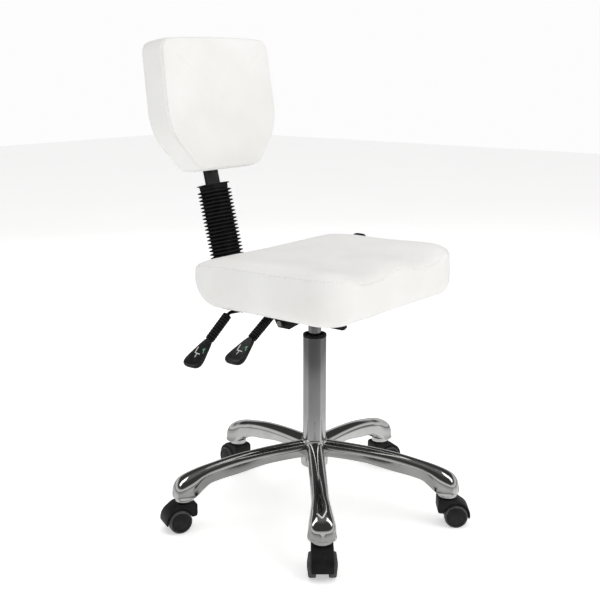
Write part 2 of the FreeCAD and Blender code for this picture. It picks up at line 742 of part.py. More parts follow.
def make_housing():
    """Folded steel channel, open above and behind, that carries the shafts and the column."""
    body = new_body()
    side = [
        ("housing_front + 5", "housing_floor"),
        ("dip_front - 34", "housing_floor"),
        ("dip_front", "dip_foot"),
        ("dip_rear - 6", "dip_foot"),
        ("dip_rear + 8", "housing_floor"),
        ("housing_rear", "housing_floor + 4"),
        ("housing_rear", "housing_top"),
        ("housing_front + 12", "housing_top"),
        ("housing_front + 4", "housing_floor + 20"),
        ("housing_front", "housing_floor + 6"),
    ]
    pad(body, outline(body, "YZ_Plane", side), "2 * housing_half_width", middle=True)
    half = "housing_half_width - sheet_steel"

    def between_walls(front, rear, foot, top):
        room = [(f"0 - ({half})", front), (half, front), (half, rear), (f"0 - ({half})", rear)]
        pocket(body, outline(body, "XY_Plane", room, foot), f"{top} - ({foot})", flip=True)

    beyond = "housing_rear + 1"
    between_walls("housing_front + 5 + sheet_steel", beyond, "housing_floor + sheet_steel", "housing_top + 1")
    between_walls("dip_front - 35", beyond, "dip_foot - 1", "housing_floor")
    between_walls("floor_rear", beyond, "housing_floor - 1", "housing_floor + sheet_steel + 1")
    finger_slot = box(
        ("3 * sheet_steel", "2 * hinge_half_width + 3", "40"),
        ("0 - housing_half_width - sheet_steel", "0 - hinge_half_width - 1.5", "finger_foot - 8"),
    )
    nose_gap = box(
        ("2 * housing_half_width", "seat_pivot_y + shaft_radius - housing_front", "nose_rise + 1"),
        ("nose_flange - housing_half_width", "housing_front - 1", "housing_floor - 1"),
    )
    column_hole = cylinder("socket_radius", "sheet_steel + 2", ("0", "0", "housing_floor - 1"))
    seat_bore = across("shaft_radius", "housing_half_width + 5", "seat_pivot_y", "seat_pivot_z")
    back_bore = across("shaft_radius", "housing_half_width + 5", "back_pivot_y", "back_pivot_z")
    back_clamp = cylinder("clamp_radius", "20", ("0 - housing_half_width - 10", *back_clamp_at()), "x")
    seat_clamp = cylinder("clamp_radius", "20", ("housing_half_width - 10", *seat_clamp_at()), "x")
    housing = cut(body, finger_slot, nose_gap, column_hole, seat_bore, back_bore, back_clamp, seat_clamp)
    ears, pins = lever_mounts()
    subpart(fuse(housing, *ears), "mechanism_housing")
    subpart(group(*pins), "lever_pins")

    socket = [
        ("lift_radius", "taper_foot"),
        ("socket_radius", "taper_foot"),
        ("socket_radius", "taper_top"),
        ("lift_radius - taper_loss", "taper_top"),
    ]
    subpart(revolve(socket), "taper_socket")
    subpart(across("shaft_radius", "shaft_half_length", "seat_pivot_y", "seat_pivot_z"), "seat_pivot_shaft")
    subpart(across("shaft_radius", "shaft_half_length", "back_pivot_y", "back_pivot_z"), "back_pivot_shaft")


def make_clamps():
    """The two clamp bolts, each with its nut, that lock the tilting parts to the housing."""
    out = "housing_half_width"
    back_y, back_z = back_clamp_at()
    back = fuse(
        cylinder("clamp_radius", f"{out} - 30", (f"0 - {out}", back_y, back_z), "x"),
        cylinder("clamp_head_radius", "clamp_head", (f"0 - {out} - clamp_head", back_y, back_z), "x"),
        cylinder("clamp_head_radius", "clamp_head", ("0 - 38", back_y, back_z), "x"),
    )
    seat_y, seat_z = seat_clamp_at()
    inside = f"{out} - sheet_steel"
    outside = "ear_inside + sheet_steel + slot_play"
    seat = fuse(
        cylinder("clamp_radius", "clamp_shank", (inside, seat_y, seat_z), "x"),
        cylinder("clamp_head_radius", "clamp_head", (f"{inside} - clamp_head", seat_y, seat_z), "x"),
        cylinder("clamp_head_radius", "clamp_head", (outside, seat_y, seat_z), "x"),
    )
    subpart(group(back, seat), "clamp_bolts")


# A lever's name and the side of the stool it is on.
LEVERS = (("lift_lever", -1), ("back_lock_lever", -1), ("seat_lock_lever", 1))


def lever_mounts():
    """Pairs of ears for the housing, and the pins that the levers turn on."""
    ears = []
    pins = []
    for name, side in LEVERS:
        y = f"{name}_y"
        hinge_x = f"{side} * hinge_x"
        hole_at = (hinge_x, f"{y} - 2 * hinge_half_width", "hinge_z")
        start = "housing_half_width" if side > 0 else "0 - ear_reach"
        size = ("ear_reach - housing_half_width", "sheet_steel", "ear_top - ear_foot")
        for ear_y in (f"{y} + hinge_half_width + ear_gap", f"{y} - hinge_half_width - ear_gap - sheet_steel"):
            plate = box(size, (start, ear_y, "ear_foot"))
            ears.append(cut(plate, cylinder("pin_radius", "4 * hinge_half_width", hole_at, "y")))
        pin_at = (hinge_x, f"{y} - pin_half_length", "hinge_z")
        pins.append(cylinder("pin_radius", "2 * pin_half_length", pin_at, "y"))
    return ears, pins


def lever_rod(name, side):
    """Bent round rod with a hub for its pin; its path lies in a plane across the stool."""
    radius = SIZE["lever_rod_radius"]
    y = SIZE[f"{name}_y"]
    hinge = Vector(side * SIZE["hinge_x"], y, SIZE["hinge_z"])
    elbow = Vector(side * SIZE[f"{name}_elbow_x"], y, SIZE[f"{name}_elbow_z"])
    slope = math.radians(SIZE[f"{name}_droop"])
    direction = Vector(side * math.cos(slope), 0, -math.sin(slope))
    inner = hinge + (elbow - hinge).normalize() * (SIZE["hinge_radius"] - 1)
    end = elbow + direction * (SIZE["sleeve_end"] + SIZE["rod_grip"])
    path = bent_path([inner, elbow, end], SIZE["lever_bend"])
    section = Part.Wire(Part.makeCircle(radius, inner, elbow - hinge))
    rod = path.makePipeShell([section], True, False)
    half = Vector(0, SIZE["hinge_half_width"], 0)
    hub = Part.makeCylinder(SIZE["hinge_radius"], 2 * half.y, hinge - half, half)
    shape = hub.fuse(rod)
    if name == "lift_lever":
        reach = SIZE["hinge_x"] + SIZE["finger_reach"]
        height = SIZE["finger_top"] - SIZE["finger_foot"]
        corner = Vector(-SIZE["hinge_x"], y - half.y, SIZE["finger_foot"])
        shape = shape.fuse(Part.makeBox(reach, 2 * half.y, height, corner))
    bore_radius = SIZE["pin_radius"] + SIZE["running_gap"]
    bore = Part.makeCylinder(bore_radius, 4 * half.y, hinge - 2 * half, half)
    feature = doc.addObject("Part::Feature", name + "_rod")
    feature.Shape = shape.cut(bore).removeSplitter()
    subpart(feature, name + "_rod")


def make_lever(name, side):
    """Rod, rubber sleeve and paddle; the sleeve and paddle lie along the drooping part."""
    lever_rod(name, side)
    angle = f"{side} * (90 + {name}_droop)"
    elbow = (f"{side} * {name}_elbow_x", f"{name}_y", f"{name}_elbow_z")
    sleeve = cut(
        cylinder("sleeve_radius", "sleeve_end - sleeve_start", ("0", "0", "sleeve_start")),
        cylinder("lever_rod_radius", "paddle_end"),
    )
    subpart(place(sleeve, elbow, (0, 1, 0), angle), name + "_sleeve")

    body = new_body()
    half = [
        ("paddle_neck_half_width", "sleeve_end"),
        ("paddle_neck_half_width + 3", "sleeve_end + 10"),
        ("paddle_half_width", "paddle_end - 24"),
        ("paddle_half_width - 2", "paddle_end - 10"),
        ("paddle_half_width - 11", "paddle_end"),
    ]
    other = [(f"0 - ({wide})", along) for wide, along in reversed(half)]
    sketch = outline(body, "YZ_Plane", half + other)
    pad(body, sketch, "paddle_thickness", middle=True)
    socket = cylinder("lever_rod_radius", "rod_grip", ("0", "0", "sleeve_end"))
    subpart(place(cut(body, socket), elbow, (0, 1, 0), angle), name + "_paddle")


# ---------------------------------------------------------------- seat


def make_seat_frame():
    """Plate that tilts on the front shaft, with its ears, and the two rails under the board."""
    plate = box(
        ("2 * seat_plate_half_width", "2 * seat_plate_half_length", "seat_plate_top - seat_plate_foot"),
        ("0 - seat_plate_half_width", "0 - seat_plate_half_length", "seat_plate_foot"),
    )
    ears = []
    for start in ("ear_inside", "0 - ear_inside - sheet_steel"):
        ears.append(
            box(
                ("sheet_steel", "28", "seat_plate_foot - seat_pivot_z + 13"),
                (start, "seat_pivot_y - 14", "seat_pivot_z - 12"),
            )
        )
    bore = across("shaft_radius + running_gap", "seat_plate_half_width + 5", "seat_pivot_y", "seat_pivot_z")
    subpart(cut(fuse(plate, *ears), bore), "seat_plate")

    at = ("ear_inside", "seat_pivot_y", "seat_pivot_z")
    margin = "(lug_margin + clamp_radius)"
    play = "(clamp_radius + slot_play)"
    slot_margin = "1.5"
    slot_start = f"0 - seat_clamp_drop - seat_rise - {slot_margin}"
    lug_start = f"{slot_start} - 3.5"
    lug_sweep = "seat_rise + 14"
    slot_sweep = f"seat_rise + 2 * {slot_margin}"
    lug = sector(f"seat_clamp_reach + {margin}", "sheet_steel", lug_start, lug_sweep, at)
    inner = sector(f"seat_clamp_reach - {margin}", "sheet_steel", lug_start, lug_sweep, at)
    slot_outer = sector(f"seat_clamp_reach + {play}", "sheet_steel", slot_start, slot_sweep, at)
    slot_inner = sector(f"seat_clamp_reach - {play}", "sheet_steel", slot_start, slot_sweep, at)
    above = box(
        ("sheet_steel", "2 * seat_clamp_reach", "seat_plate_top"),
        ("ear_inside", "seat_pivot_y", "seat_plate_foot"),
    )
    subpart(cut(lug, inner, cut(slot_outer, slot_inner), above), "seat_lock_link")

    rails = []
    for y in ("front_rail_y", "rear_rail_y"):
        size = ("2 * rail_half_length", "rail_width", "rail_thickness")
        rail = box(size, ("0 - rail_half_length", y, "seat_plate_top"))
        rails.append(cut(rail, *seat_holes(y, "bolt_hole_radius", "seat_plate_top", "rail_thickness")))
    subpart(group(*rails), "seat_rails")


def seat_holes(rail_y, radius, foot, length):
    """Upright cylinders at one rail's two bolt places."""
    y = f"{rail_y} + rail_width / 2"
    return [cylinder(radius, length, (x, y, foot)) for x in ("seat_bolt_x", "0 - seat_bolt_x")]


def seat_block(z_range, inset, rear_inset):
    """The seat's outline drawn in by an inset, as a flat block."""
    half = f"seat_half_width - {inset}"
    body = block((f"0 - ({half})", half), (f"seat_front + {inset}", f"seat_rear - ({rear_inset})"), z_range)
    round_seat_corners(body, inset)
    return body


def round_seat_corners(body, inset):
    def at_front(edge):
        return upright_edge(edge) and edge.Vertexes[0].Point.y < 0

    def at_rear(edge):
        return upright_edge(edge) and edge.Vertexes[0].Point.y > 0

    round_edges(body, f"seat_corner - {inset}", at_front)
    round_edges(body, f"max(seat_rear_corner - {inset}; 2)", at_rear)


def rounded_block(x_range, y_range, z_range, corner):
    """A flat block with its upright edges rounded."""
    body = block(x_range, y_range, z_range)
    round_edges(body, corner, upright_edge)
    return body


def block(x_range, y_range, z_range):
    body = new_body()
    corners = [
        (x_range[0], y_range[0]),
        (x_range[1], y_range[0]),
        (x_range[1], y_range[1]),
        (x_range[0], y_range[1]),
    ]
    pad(body, outline(body, "XY_Plane", corners, z_range[0]), f"{z_range[1]} - ({z_range[0]})")
    return body


def make_seat():
    """Upholstered seat: foam block over a plywood board, with a thin cloth under it."""
    cushion = new_body()
    side = [
        ("seat_front", "seat_foot"),
        ("seat_rear - rear_slope_depth", "seat_foot"),
        ("seat_rear", "seat_foot + rear_slope_height"),
        ("seat_rear", "seat_top"),
        ("seat_front", "seat_top"),
    ]
    pad(cushion, outline(cushion, "YZ_Plane", side), "2 * seat_half_width", middle=True)
    round_seat_corners(cushion, "0")
    round_edges(cushion, "seat_edge", level_edge_at(SIZE["seat_top"]))
    at_foot = level_edge_at(SIZE["seat_foot"])

    def under_edge(edge):
        low, high = ends(edge)
        sloping = abs(low.x - high.x) < 0.01 and abs(low.y - high.y) > 1 and abs(low.z - high.z) > 1
        return at_foot(edge) or (sloping and min(low.z, high.z) < SIZE["seat_foot"] + 1)

    round_edges(cushion, "seat_under_edge", under_edge)
    insets = ("board_inset", "rear_slope_depth + 6")
    board_range = ("seat_foot", "seat_foot + board_thickness")
    board_room = seat_block(board_range, *insets)
    board = seat_block(board_range, *insets)
    cover = seat_block(("seat_foot - cover_thickness", "seat_foot"), *insets)

    def bolt_rooms(radius, foot, length):
        front = seat_holes("front_rail_y", radius, foot, length)
        return front + seat_holes("rear_rail_y", radius, foot, length)

    shank_length = "rail_thickness + cover_thickness + board_thickness - 1"
    board_holes = bolt_rooms("bolt_hole_radius", "seat_foot", "board_thickness")
    cover_holes = bolt_rooms("bolt_hole_radius", "seat_foot - cover_thickness", "cover_thickness")
    subpart(cut(cushion, board_room), "seat_cushion")
    subpart(cut(board, *board_holes), "seat_board")
    subpart(cut(cover, *cover_holes), "seat_undercloth")
    shanks = bolt_rooms("bolt_radius", "seat_plate_top", shank_length)
    heads = bolt_rooms("bolt_head_radius", "seat_plate_top - bolt_head", "bolt_head")
    subpart(group(*[fuse(shank, head) for shank, head in zip(shanks, heads)]), "seat_bolts")


# ---------------------------------------------------------------- back


def on_mast(obj):
    return place(obj, ("0", "mast_y", "mast_z"), (1, 0, 0), "0 - mast_tilt")


def on_pad(obj):
    return place(obj, ("0", "pad_y", "pad_z"), (1, 0, 0), "0 - pad_tilt")


def make_back_arm():
    """Flat bar from the pivot tube rearward and up to the foot of the guide tube."""
    lean = math.radians(SIZE["mast_tilt"])
    along = Vector(0, math.sin(lean), math.cos(lean))
    behind = Vector(0, math.cos(lean), -math.sin(lean))
    thickness = SIZE["arm_bar_thickness"]
    top = Vector(0, SIZE["mast_y"], SIZE["mast_z"]) + behind * (SIZE["guide_half_depth"] + thickness / 2)
    end = top + along * SIZE["arm_bar_end"]
    level = SIZE["back_pivot_z"]
    corner = top + along * ((level - top.z) / along.z)
    start = Vector(0, SIZE["back_pivot_y"] + SIZE["knuckle_radius"] - 1.5, level)
    path = bent_path([start, corner, end], SIZE["arm_bar_bend"])
    half = SIZE["arm_bar_width"] / 2
    low = level - thickness / 2
    section = Part.makePolygon(
        [
            Vector(-half, start.y, low),
            Vector(half, start.y, low),
            Vector(half, start.y, low + thickness),
            Vector(-half, start.y, low + thickness),
            Vector(-half, start.y, low),
        ]
    )
    bar = path.makePipeShell([section], True, False)
    length = SIZE["knuckle_half_length"]
    pivot = Vector(-length, SIZE["back_pivot_y"], level)
    knuckle = Part.makeCylinder(SIZE["knuckle_radius"], 2 * length, pivot, Vector(1, 0, 0))
    bore = Part.makeCylinder(SIZE["shaft_radius"] + SIZE["running_gap"], 2 * length, pivot, Vector(1, 0, 0))
    feature = doc.addObject("Part::Feature", "back_arm")
    feature.Shape = knuckle.fuse(bar).cut(bore).removeSplitter()
    subpart(feature, "back_arm")


def make_back_lock():
    """Slotted sector on the pivot tube; the back's clamp bolt passes through its slot."""
    at = ("0 - 45", "back_pivot_y", "back_pivot_z")
    margin = "lug_margin + clamp_radius - 4"
    start = "back_clamp_angle - back_forward"
    swing = "back_forward + back_rearward"
    plate = sector(f"back_clamp_reach + {margin}", "sheet_steel", f"{start} - 13", f"{swing} + 24", at)
    hub = cylinder("knuckle_radius + 3", "sheet_steel", at, "x")
    bore = cylinder("knuckle_radius", "sheet_steel + 4", ("0 - 47", at[1], at[2]), "x")
    play = "(clamp_radius + slot_play)"
    slot_outer = sector(f"back_clamp_reach + {play}", "sheet_steel", f"{start} - 7", f"{swing} + 14", at)
    slot_inner = cylinder(f"back_clamp_reach - {play}", "sheet_steel + 4", ("0 - 47", at[1], at[2]), "x")
    subpart(cut(fuse(plate, hub), bore, cut(slot_outer, slot_inner)), "back_lock_link")


def make_mast():
    """Guide tube on the arm, the flat upright that slides in it, and the bellows round both."""
    outer = box(
        ("2 * guide_half_width", "2 * guide_half_depth", "guide_top - guide_foot"),
        ("0 - guide_half_width", "0 - guide_half_depth", "guide_foot"),
    )
    inner = box(
        ("2 * (guide_half_width - guide_wall)", "2 * (guide_half_depth - guide_wall)", "guide_top"),
        ("guide_wall - guide_half_width", "guide_wall - guide_half_depth", "guide_foot - 1"),
    )
    subpart(on_mast(cut(outer, inner)), "upright_guide")

    sleeve = rounded_block(
        ("0 - bellows_half_width", "bellows_half_width"),
        ("0 - bellows_half_depth", "bellows_half_depth"),
        ("bellows_foot", "bellows_top"),
        "bellows_corner",
    )
    wide = "bellows_half_width - bellows_wall"
    deep = "bellows_half_depth - bellows_wall"
    room = rounded_block(
        (f"0 - ({wide})", wide),
        (f"0 - ({deep})", deep),
        ("bellows_foot - 1", "bellows_top + 1"),
        "bellows_corner - bellows_wall",
    )
    subpart(on_mast(cut(sleeve, room)), "upright_bellows")

    lower = box(
        ("2 * bar_half_width", "2 * bar_half_depth", "bar_bend - bar_foot"),
        ("0 - bar_half_width", "0 - bar_half_depth", "bar_foot"),
    )
    upper = box(
        ("2 * bar_half_width", "2 * bar_half_depth", "bar_top - bar_start"),
        ("0 - bar_half_width", "pad_rear", "bar_start"),
    )
    bolt_holes = back_rods("bolt_hole_radius", "pad_rear - 2", "2 * bar_half_depth + 4")
    bar = fuse(on_mast(group(lower)), on_pad(group(upper)))
    subpart(cut(bar, on_pad(group(*bolt_holes))), "back_upright")


def back_rods(radius, start, length):
    """Cylinders along the cushion's depth at the two bolt places."""
    heights = ("back_bolt_low", "back_bolt_high")
    return [cylinder(radius, length, ("0", start, height), "y") for height in heights]


def shield(inset, front, rear):
    """The back cushion's outline, drawn in by an inset and given a depth."""
    body = new_body()
    half = [
        (f"pad_foot_half_width - {inset} * 0.6", f"pad_foot + {inset}"),
        (f"pad_waist_half_width - {inset}", "pad_waist"),
        (f"pad_top_half_width - {inset}", f"pad_top - {inset}"),
    ]
    other = [(f"0 - ({wide})", up) for wide, up in reversed(half)]
    # The plane's normal is -Y, so the offset counts towards the front.
    sketch = outline(body, "XZ_Plane", half + other, f"0 - ({front})")
    pad(body, sketch, f"({rear}) - ({front})").Reversed = True
    for height in ("pad_foot", "pad_waist", "pad_top"):
        level = SIZE[height]

        def near(edge, level=level):
            low, high = ends(edge)
            straight = abs(low.x - high.x) < 0.01 and abs(low.z - high.z) < 0.01
            return straight and abs(low.z - level) <= SIZE["pad_board_inset"] + 0.01

        round_edges(body, f"{height}_corner", near)
    return body


def make_back():
    """Shield-shaped cushion with a plywood board in its rear, bolted to the upright."""
    cushion = shield("0", "pad_front", "pad_rear")
    front = SIZE["pad_front"]

    def front_edge(edge):
        return all(abs(vertex.Point.y - front) < 0.01 for vertex in edge.Vertexes)

    round_edges(cushion, "pad_edge", front_edge)
    board_rear = "pad_rear - pad_skin"
    board_front = "pad_rear - pad_skin - board_thickness"
    room = shield("pad_board_inset", board_front, board_rear)
    skin_holes = back_rods("bolt_hole_radius", "pad_rear - 5", "10")
    subpart(on_pad(cut(cushion, room, *skin_holes)), "back_cushion")
    board = shield("pad_board_inset", board_front, board_rear)
    board_holes = back_rods("bolt_hole_radius", board_front + " - 1", "board_thickness + 4")
    subpart(on_pad(cut(board, *board_holes)), "back_board")
    outside = "pad_rear + 2 * bar_half_depth"
    shank_start = f"{board_front} + 1"
    shanks = back_rods("bolt_radius", shank_start, f"{outside} - ({shank_start})")
    heads = back_rods("bolt_head_radius", outside, "bolt_head")
    bolts = group(*[fuse(shank, head) for shank, head in zip(shanks, heads)])
    subpart(on_pad(bolts), "back_bolts")


# ---------------------------------------------------------------- assembly


def check_document():
    """Stop if any object failed or any piece is empty or invalid."""
    doc.recompute()
    for obj in doc.Objects:
        if "Invalid" in obj.State or "Error" in obj.State:
            raise RuntimeError(f"{obj.Name} ({obj.Label}) failed: {obj.State}")
    for piece in subparts:
        if piece.Shape.isNull() or not piece.Shape.isValid() or not piece.Shape.Solids:
            raise RuntimeError(f"{piece.Label} has no valid shape")


def build():
    write_sheet()
    make_star_base()
    make_stems()
    for arm in range(ARMS):
        make_caster(arm)
    make_gas_lift()
    make_housing()
    make_clamps()
    for name, side in LEVERS:
        make_lever(name, side)
    make_seat_frame()
    make_seat()
    make_back_arm()
    make_back_lock()
    make_mast()
    make_back()
    check_document()
    os.makedirs("parts", exist_ok=True)
    for piece in subparts:
        piece.Shape.exportStep(f"parts/{piece.Label}.step")
        solids = len(piece.Shape.Solids)
        print(f"{piece.Label}: {solids} solid(s), {piece.Shape.Volume / 1000:.1f} cm3")


build()
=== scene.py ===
"""Looks of the pedicure stool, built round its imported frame.

Metres, +Z up, origin on the gas lift's axis at floor level; the sitter faces -Y.
Shapes are worked out in millimetres and scaled when their mesh is made.
"""

import json
import math

import bmesh
import bpy
from mathutils import Euler, Matrix, Vector, noise
from mathutils.bvhtree import BVHTree
from mathutils.kdtree import KDTree


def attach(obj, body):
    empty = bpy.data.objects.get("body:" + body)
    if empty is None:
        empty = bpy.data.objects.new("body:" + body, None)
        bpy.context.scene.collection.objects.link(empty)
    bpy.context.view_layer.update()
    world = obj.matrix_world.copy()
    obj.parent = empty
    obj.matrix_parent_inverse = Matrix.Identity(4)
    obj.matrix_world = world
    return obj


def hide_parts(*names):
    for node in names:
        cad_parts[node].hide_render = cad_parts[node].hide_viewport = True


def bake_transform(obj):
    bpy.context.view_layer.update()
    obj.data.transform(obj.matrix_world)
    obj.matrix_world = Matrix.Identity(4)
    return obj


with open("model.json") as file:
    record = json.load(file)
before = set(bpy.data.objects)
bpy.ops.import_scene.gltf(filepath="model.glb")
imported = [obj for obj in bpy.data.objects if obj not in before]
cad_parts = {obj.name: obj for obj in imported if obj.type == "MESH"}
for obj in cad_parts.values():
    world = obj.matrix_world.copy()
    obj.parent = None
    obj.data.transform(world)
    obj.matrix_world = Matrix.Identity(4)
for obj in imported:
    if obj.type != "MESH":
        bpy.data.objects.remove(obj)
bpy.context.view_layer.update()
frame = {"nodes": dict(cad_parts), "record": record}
NODES = frame["nodes"]
MM = 0.001
CREASE = 35  # faces that meet at more degrees than this keep a sharp edge
STRAIGHT = math.radians(172)  # an outline's corner as open as this stays as it is
ARC_STEPS = 4

# ---------------------------------------------------------------- mesh tools


def shade(obj, angle):
    """Smooth shading with sharp edges where faces meet at more than an angle."""
    obj.data.shade_smooth()
    obj.data.set_sharp_from_angle(angle=math.radians(angle))
    return obj


def link(name, mesh):
    obj = bpy.data.objects.new(name.replace(" ", "_"), mesh)
    bpy.context.scene.collection.objects.link(obj)
    return obj


def from_bmesh(name, bm, angle=CREASE):
    bmesh.ops.remove_doubles(bm, verts=bm.verts, dist=1e-6)
    bmesh.ops.dissolve_degenerate(bm, edges=bm.edges, dist=1e-7)
    bmesh.ops.recalc_face_normals(bm, faces=bm.faces)
    mesh = bpy.data.meshes.new(name)
    bm.to_mesh(mesh)
    bm.free()
    return shade(link(name, mesh), angle)


def from_points(name, points, faces, angle=CREASE):
    """An object from points in millimetres."""
    bm = bmesh.new()
    verts = [bm.verts.new(Vector(p) * MM) for p in points]
    for face in faces:
        bm.faces.new([verts[i] for i in face])
    return from_bmesh(name, bm, angle)


def ring_faces(rings, count, closed=False, caps=True):
    """Quads between rings of equal length, and a face over each open end."""
    faces = []
    for j in range(rings if closed else rings - 1):
        a, b = j * count, (j + 1) % rings * count
        for i in range(count):
            k = (i + 1) % count
            faces.append((a + i, a + k, b + k, b + i))
    if caps and not closed:
        faces.append(tuple(range(count)))
        faces.append(tuple(reversed(range((rings - 1) * count, rings * count))))
    return faces


def loft(name, rings, angle=CREASE, closed=False):
    """A skin over rings of points that are in step with one another."""
    points = [p for ring in rings for p in ring]
    return from_points(name, points, ring_faces(len(rings), len(rings[0]), closed), angle)


def bend(start, corner, end, t):
    """A point on the curve that leaves a corner's one side and meets the other."""
    return start * (1 - t) ** 2 + corner * 2 * t * (1 - t) + end * t**2


def rounded(corners, radius):
    """A closed outline with every corner replaced by an arc, as far as its neighbours allow."""
    out = []
    count = len(corners)
    for i in range(count):
        before, corner, after = (Vector(corners[k % count]) for k in (i - 1, i, i + 1))
        a, b = before - corner, after - corner
        turn = a.angle(b)
        if turn > STRAIGHT:
            out.append(tuple(corner))
            continue
        reach = min(radius / math.tan(turn / 2), a.length * 0.45, b.length * 0.45)
        start, end = corner + a.normalized() * reach, corner + b.normalized() * reach
        out += [tuple(bend(start, corner, end, k / ARC_STEPS)) for k in range(ARC_STEPS + 1)]
    return out


def lathe(name, profile, sides, radius):
    """A solid turned about Z from a closed outline of (radius, height) corners."""
    outline = rounded(profile, radius)
    rings = []
    for k in range(sides):
        a = 2 * math.pi * k / sides
        rings.append([(r * math.cos(a), r * math.sin(a), z) for r, z in outline])
    return loft(name, rings, closed=True)


def settle(obj, angle):
    """Replace an object's mesh with what its modifiers give."""
    graph = bpy.context.evaluated_depsgraph_get()
    mesh = bpy.data.meshes.new_from_object(obj.evaluated_get(graph))
    obj.modifiers.clear()
    obj.data = mesh
    return shade(obj, angle)


def soften(obj, width, limit, segments):
    """Round an object's edges where its faces meet at more than a limit."""
    bevel = obj.modifiers.new("Edges", "BEVEL")
    bevel.width = width * MM
    bevel.segments = segments
    bevel.limit_method = "ANGLE"
    bevel.angle_limit = math.radians(limit)
    return settle(obj, CREASE)


def subdivide(obj, angle):
    sub = obj.modifiers.new("Smooth", "SUBSURF")
    sub.levels = sub.render_levels = 2
    return settle(obj, angle)


def united(name, objects, angle):
    """One closed solid from several that overlap."""
    first = objects[0]
    for other in objects[1:]:
        union = first.modifiers.new("Join", "BOOLEAN")
        union.operation = "UNION"
        union.solver = "EXACT"
        union.object = other
        settle(first, angle)
        bpy.data.objects.remove(other)
    first.name = name.replace(" ", "_")
    return first


def sections(points, tangents, sizes, sides):
    """Round sections along a path, none turned further than the path asks."""
    side = tangents[0].orthogonal().normalized()
    rings = []
    for point, tangent, size in zip(points, tangents, sizes):
        side = (side - tangent * side.dot(tangent)).normalized()
        up = tangent.cross(side)
        ring = []
        for k in range(sides):
            a = 2 * math.pi * k / sides
            ring.append(tuple(point + (side * math.cos(a) + up * math.sin(a)) * size))
        rings.append(ring)
    return rings


def sweep(name, path, sizes, sides, angle):
    """A round bar along a path of points, with a radius for each point."""
    points = [Vector(p) for p in path]
    last = len(points) - 1
    tangents = [(points[min(i + 1, last)] - points[max(i - 1, 0)]).normalized() for i in range(last + 1)]
    return loft(name, sections(points, tangents, sizes, sides), angle)


def closed_sweep(name, path, radius, sides, angle):
    """A round bar along a closed path."""
    points = [Vector(p) for p in path]
    count = len(points)
    tangents = [(points[(i + 1) % count] - points[i - 1]).normalized() for i in range(count)]
    rings = sections(points, tangents, [radius] * count, sides)
    # The sections turn on their way round, so the last ring meets the first at its nearest point.
    first = Vector(rings[0][0])
    gap = points[0] - points[-1]
    step = gap.normalized() * gap.length
    shift = min(range(sides), key=lambda k: (Vector(rings[-1][k]) + step - first).length)
    faces = ring_faces(count, sides, caps=False)
    last = (count - 1) * sides
    for k in range(sides):
        m = (k + shift) % sides
        n = (k + 1 + shift) % sides
        faces.append((last + m, last + n, (k + 1) % sides, k))
    return from_points(name, [p for ring in rings for p in ring], faces, angle)


def cad_shape(name, node):
    """A new mesh with the shape of a CAD node, its flat faces whole again."""
    bm = bmesh.new()
    bm.from_mesh(NODES[node].data)
    bmesh.ops.remove_doubles(bm, verts=bm.verts, dist=2e-6)
    bmesh.ops.dissolve_limit(bm, angle_limit=math.radians(0.5), verts=bm.verts, edges=bm.edges)
    return from_bmesh(name, bm)


def smoothstep(t):
    t = min(1.0, max(0.0, t))
    return t * t * (3 - 2 * t)


def track(knots):
    """A smooth curve through (position, value) pairs, flat beyond its ends."""
    xs = [k[0] for k in knots]
    ys = [k[1] for k in knots]
    slopes = [(ys[i + 1] - ys[i]) / (xs[i + 1] - xs[i]) for i in range(len(xs) - 1)]
    tangents = [slopes[0]]
    for before, after in zip(slopes, slopes[1:]):
        tangents.append(0.0 if before * after <= 0 else 2 * before * after / (before + after))
    tangents.append(slopes[-1])

    def value(x):
        if x <= xs[0]:
            return ys[0]
        if x >= xs[-1]:
            return ys[-1]
        i = max(k for k in range(len(xs) - 1) if xs[k] <= x)
        h = xs[i + 1] - xs[i]
        t = (x - xs[i]) / h
        a = ys[i] * (1 + 2 * t) * (1 - t) ** 2 + tangents[i] * h * t * (1 - t) ** 2
        return a + ys[i + 1] * t * t * (3 - 2 * t) + tangents[i + 1] * h * t * t * (t - 1)

    return value


# ---------------------------------------------------------------- materials


def set_sockets(node, values):
    """Set a node's inputs by their names, with underscores for the spaces."""
    for socket, value in values.items():
        node.inputs[socket.replace("_", " ")].default_value = value
    return node


def add_node(tree, kind, **values):
    return set_sockets(tree.nodes.new("ShaderNode" + kind), values)


def colour_ramp(tree, value, stops):
    """Colours along a value that runs from 0 to 1."""
    node = add_node(tree, "ValToRGB")
    while len(node.color_ramp.elements) < len(stops):
        node.color_ramp.elements.new(0.5)
    for element, (position, colour) in zip(node.color_ramp.elements, stops):
        element.position = position
        element.color = (*colour, 1)
    tree.links.new(value, node.inputs["Fac"])
    return node.outputs["Color"]


def grey_ramp(tree, value, stops):
    return colour_ramp(tree, value, [(position, (grey, grey, grey)) for position, grey in stops])


def show(tree, seen, mirrored, out):
    """Show one shader to the eye and another to polished surfaces."""
    mix = add_node(tree, "MixShader")
    tree.links.new(add_node(tree, "LightPath").outputs["Is Glossy Ray"], mix.inputs["Fac"])
    tree.links.new(seen, mix.inputs[1])
    tree.links.new(mirrored, mix.inputs[2])
    tree.links.new(mix.outputs["Shader"], out.inputs["Surface"])


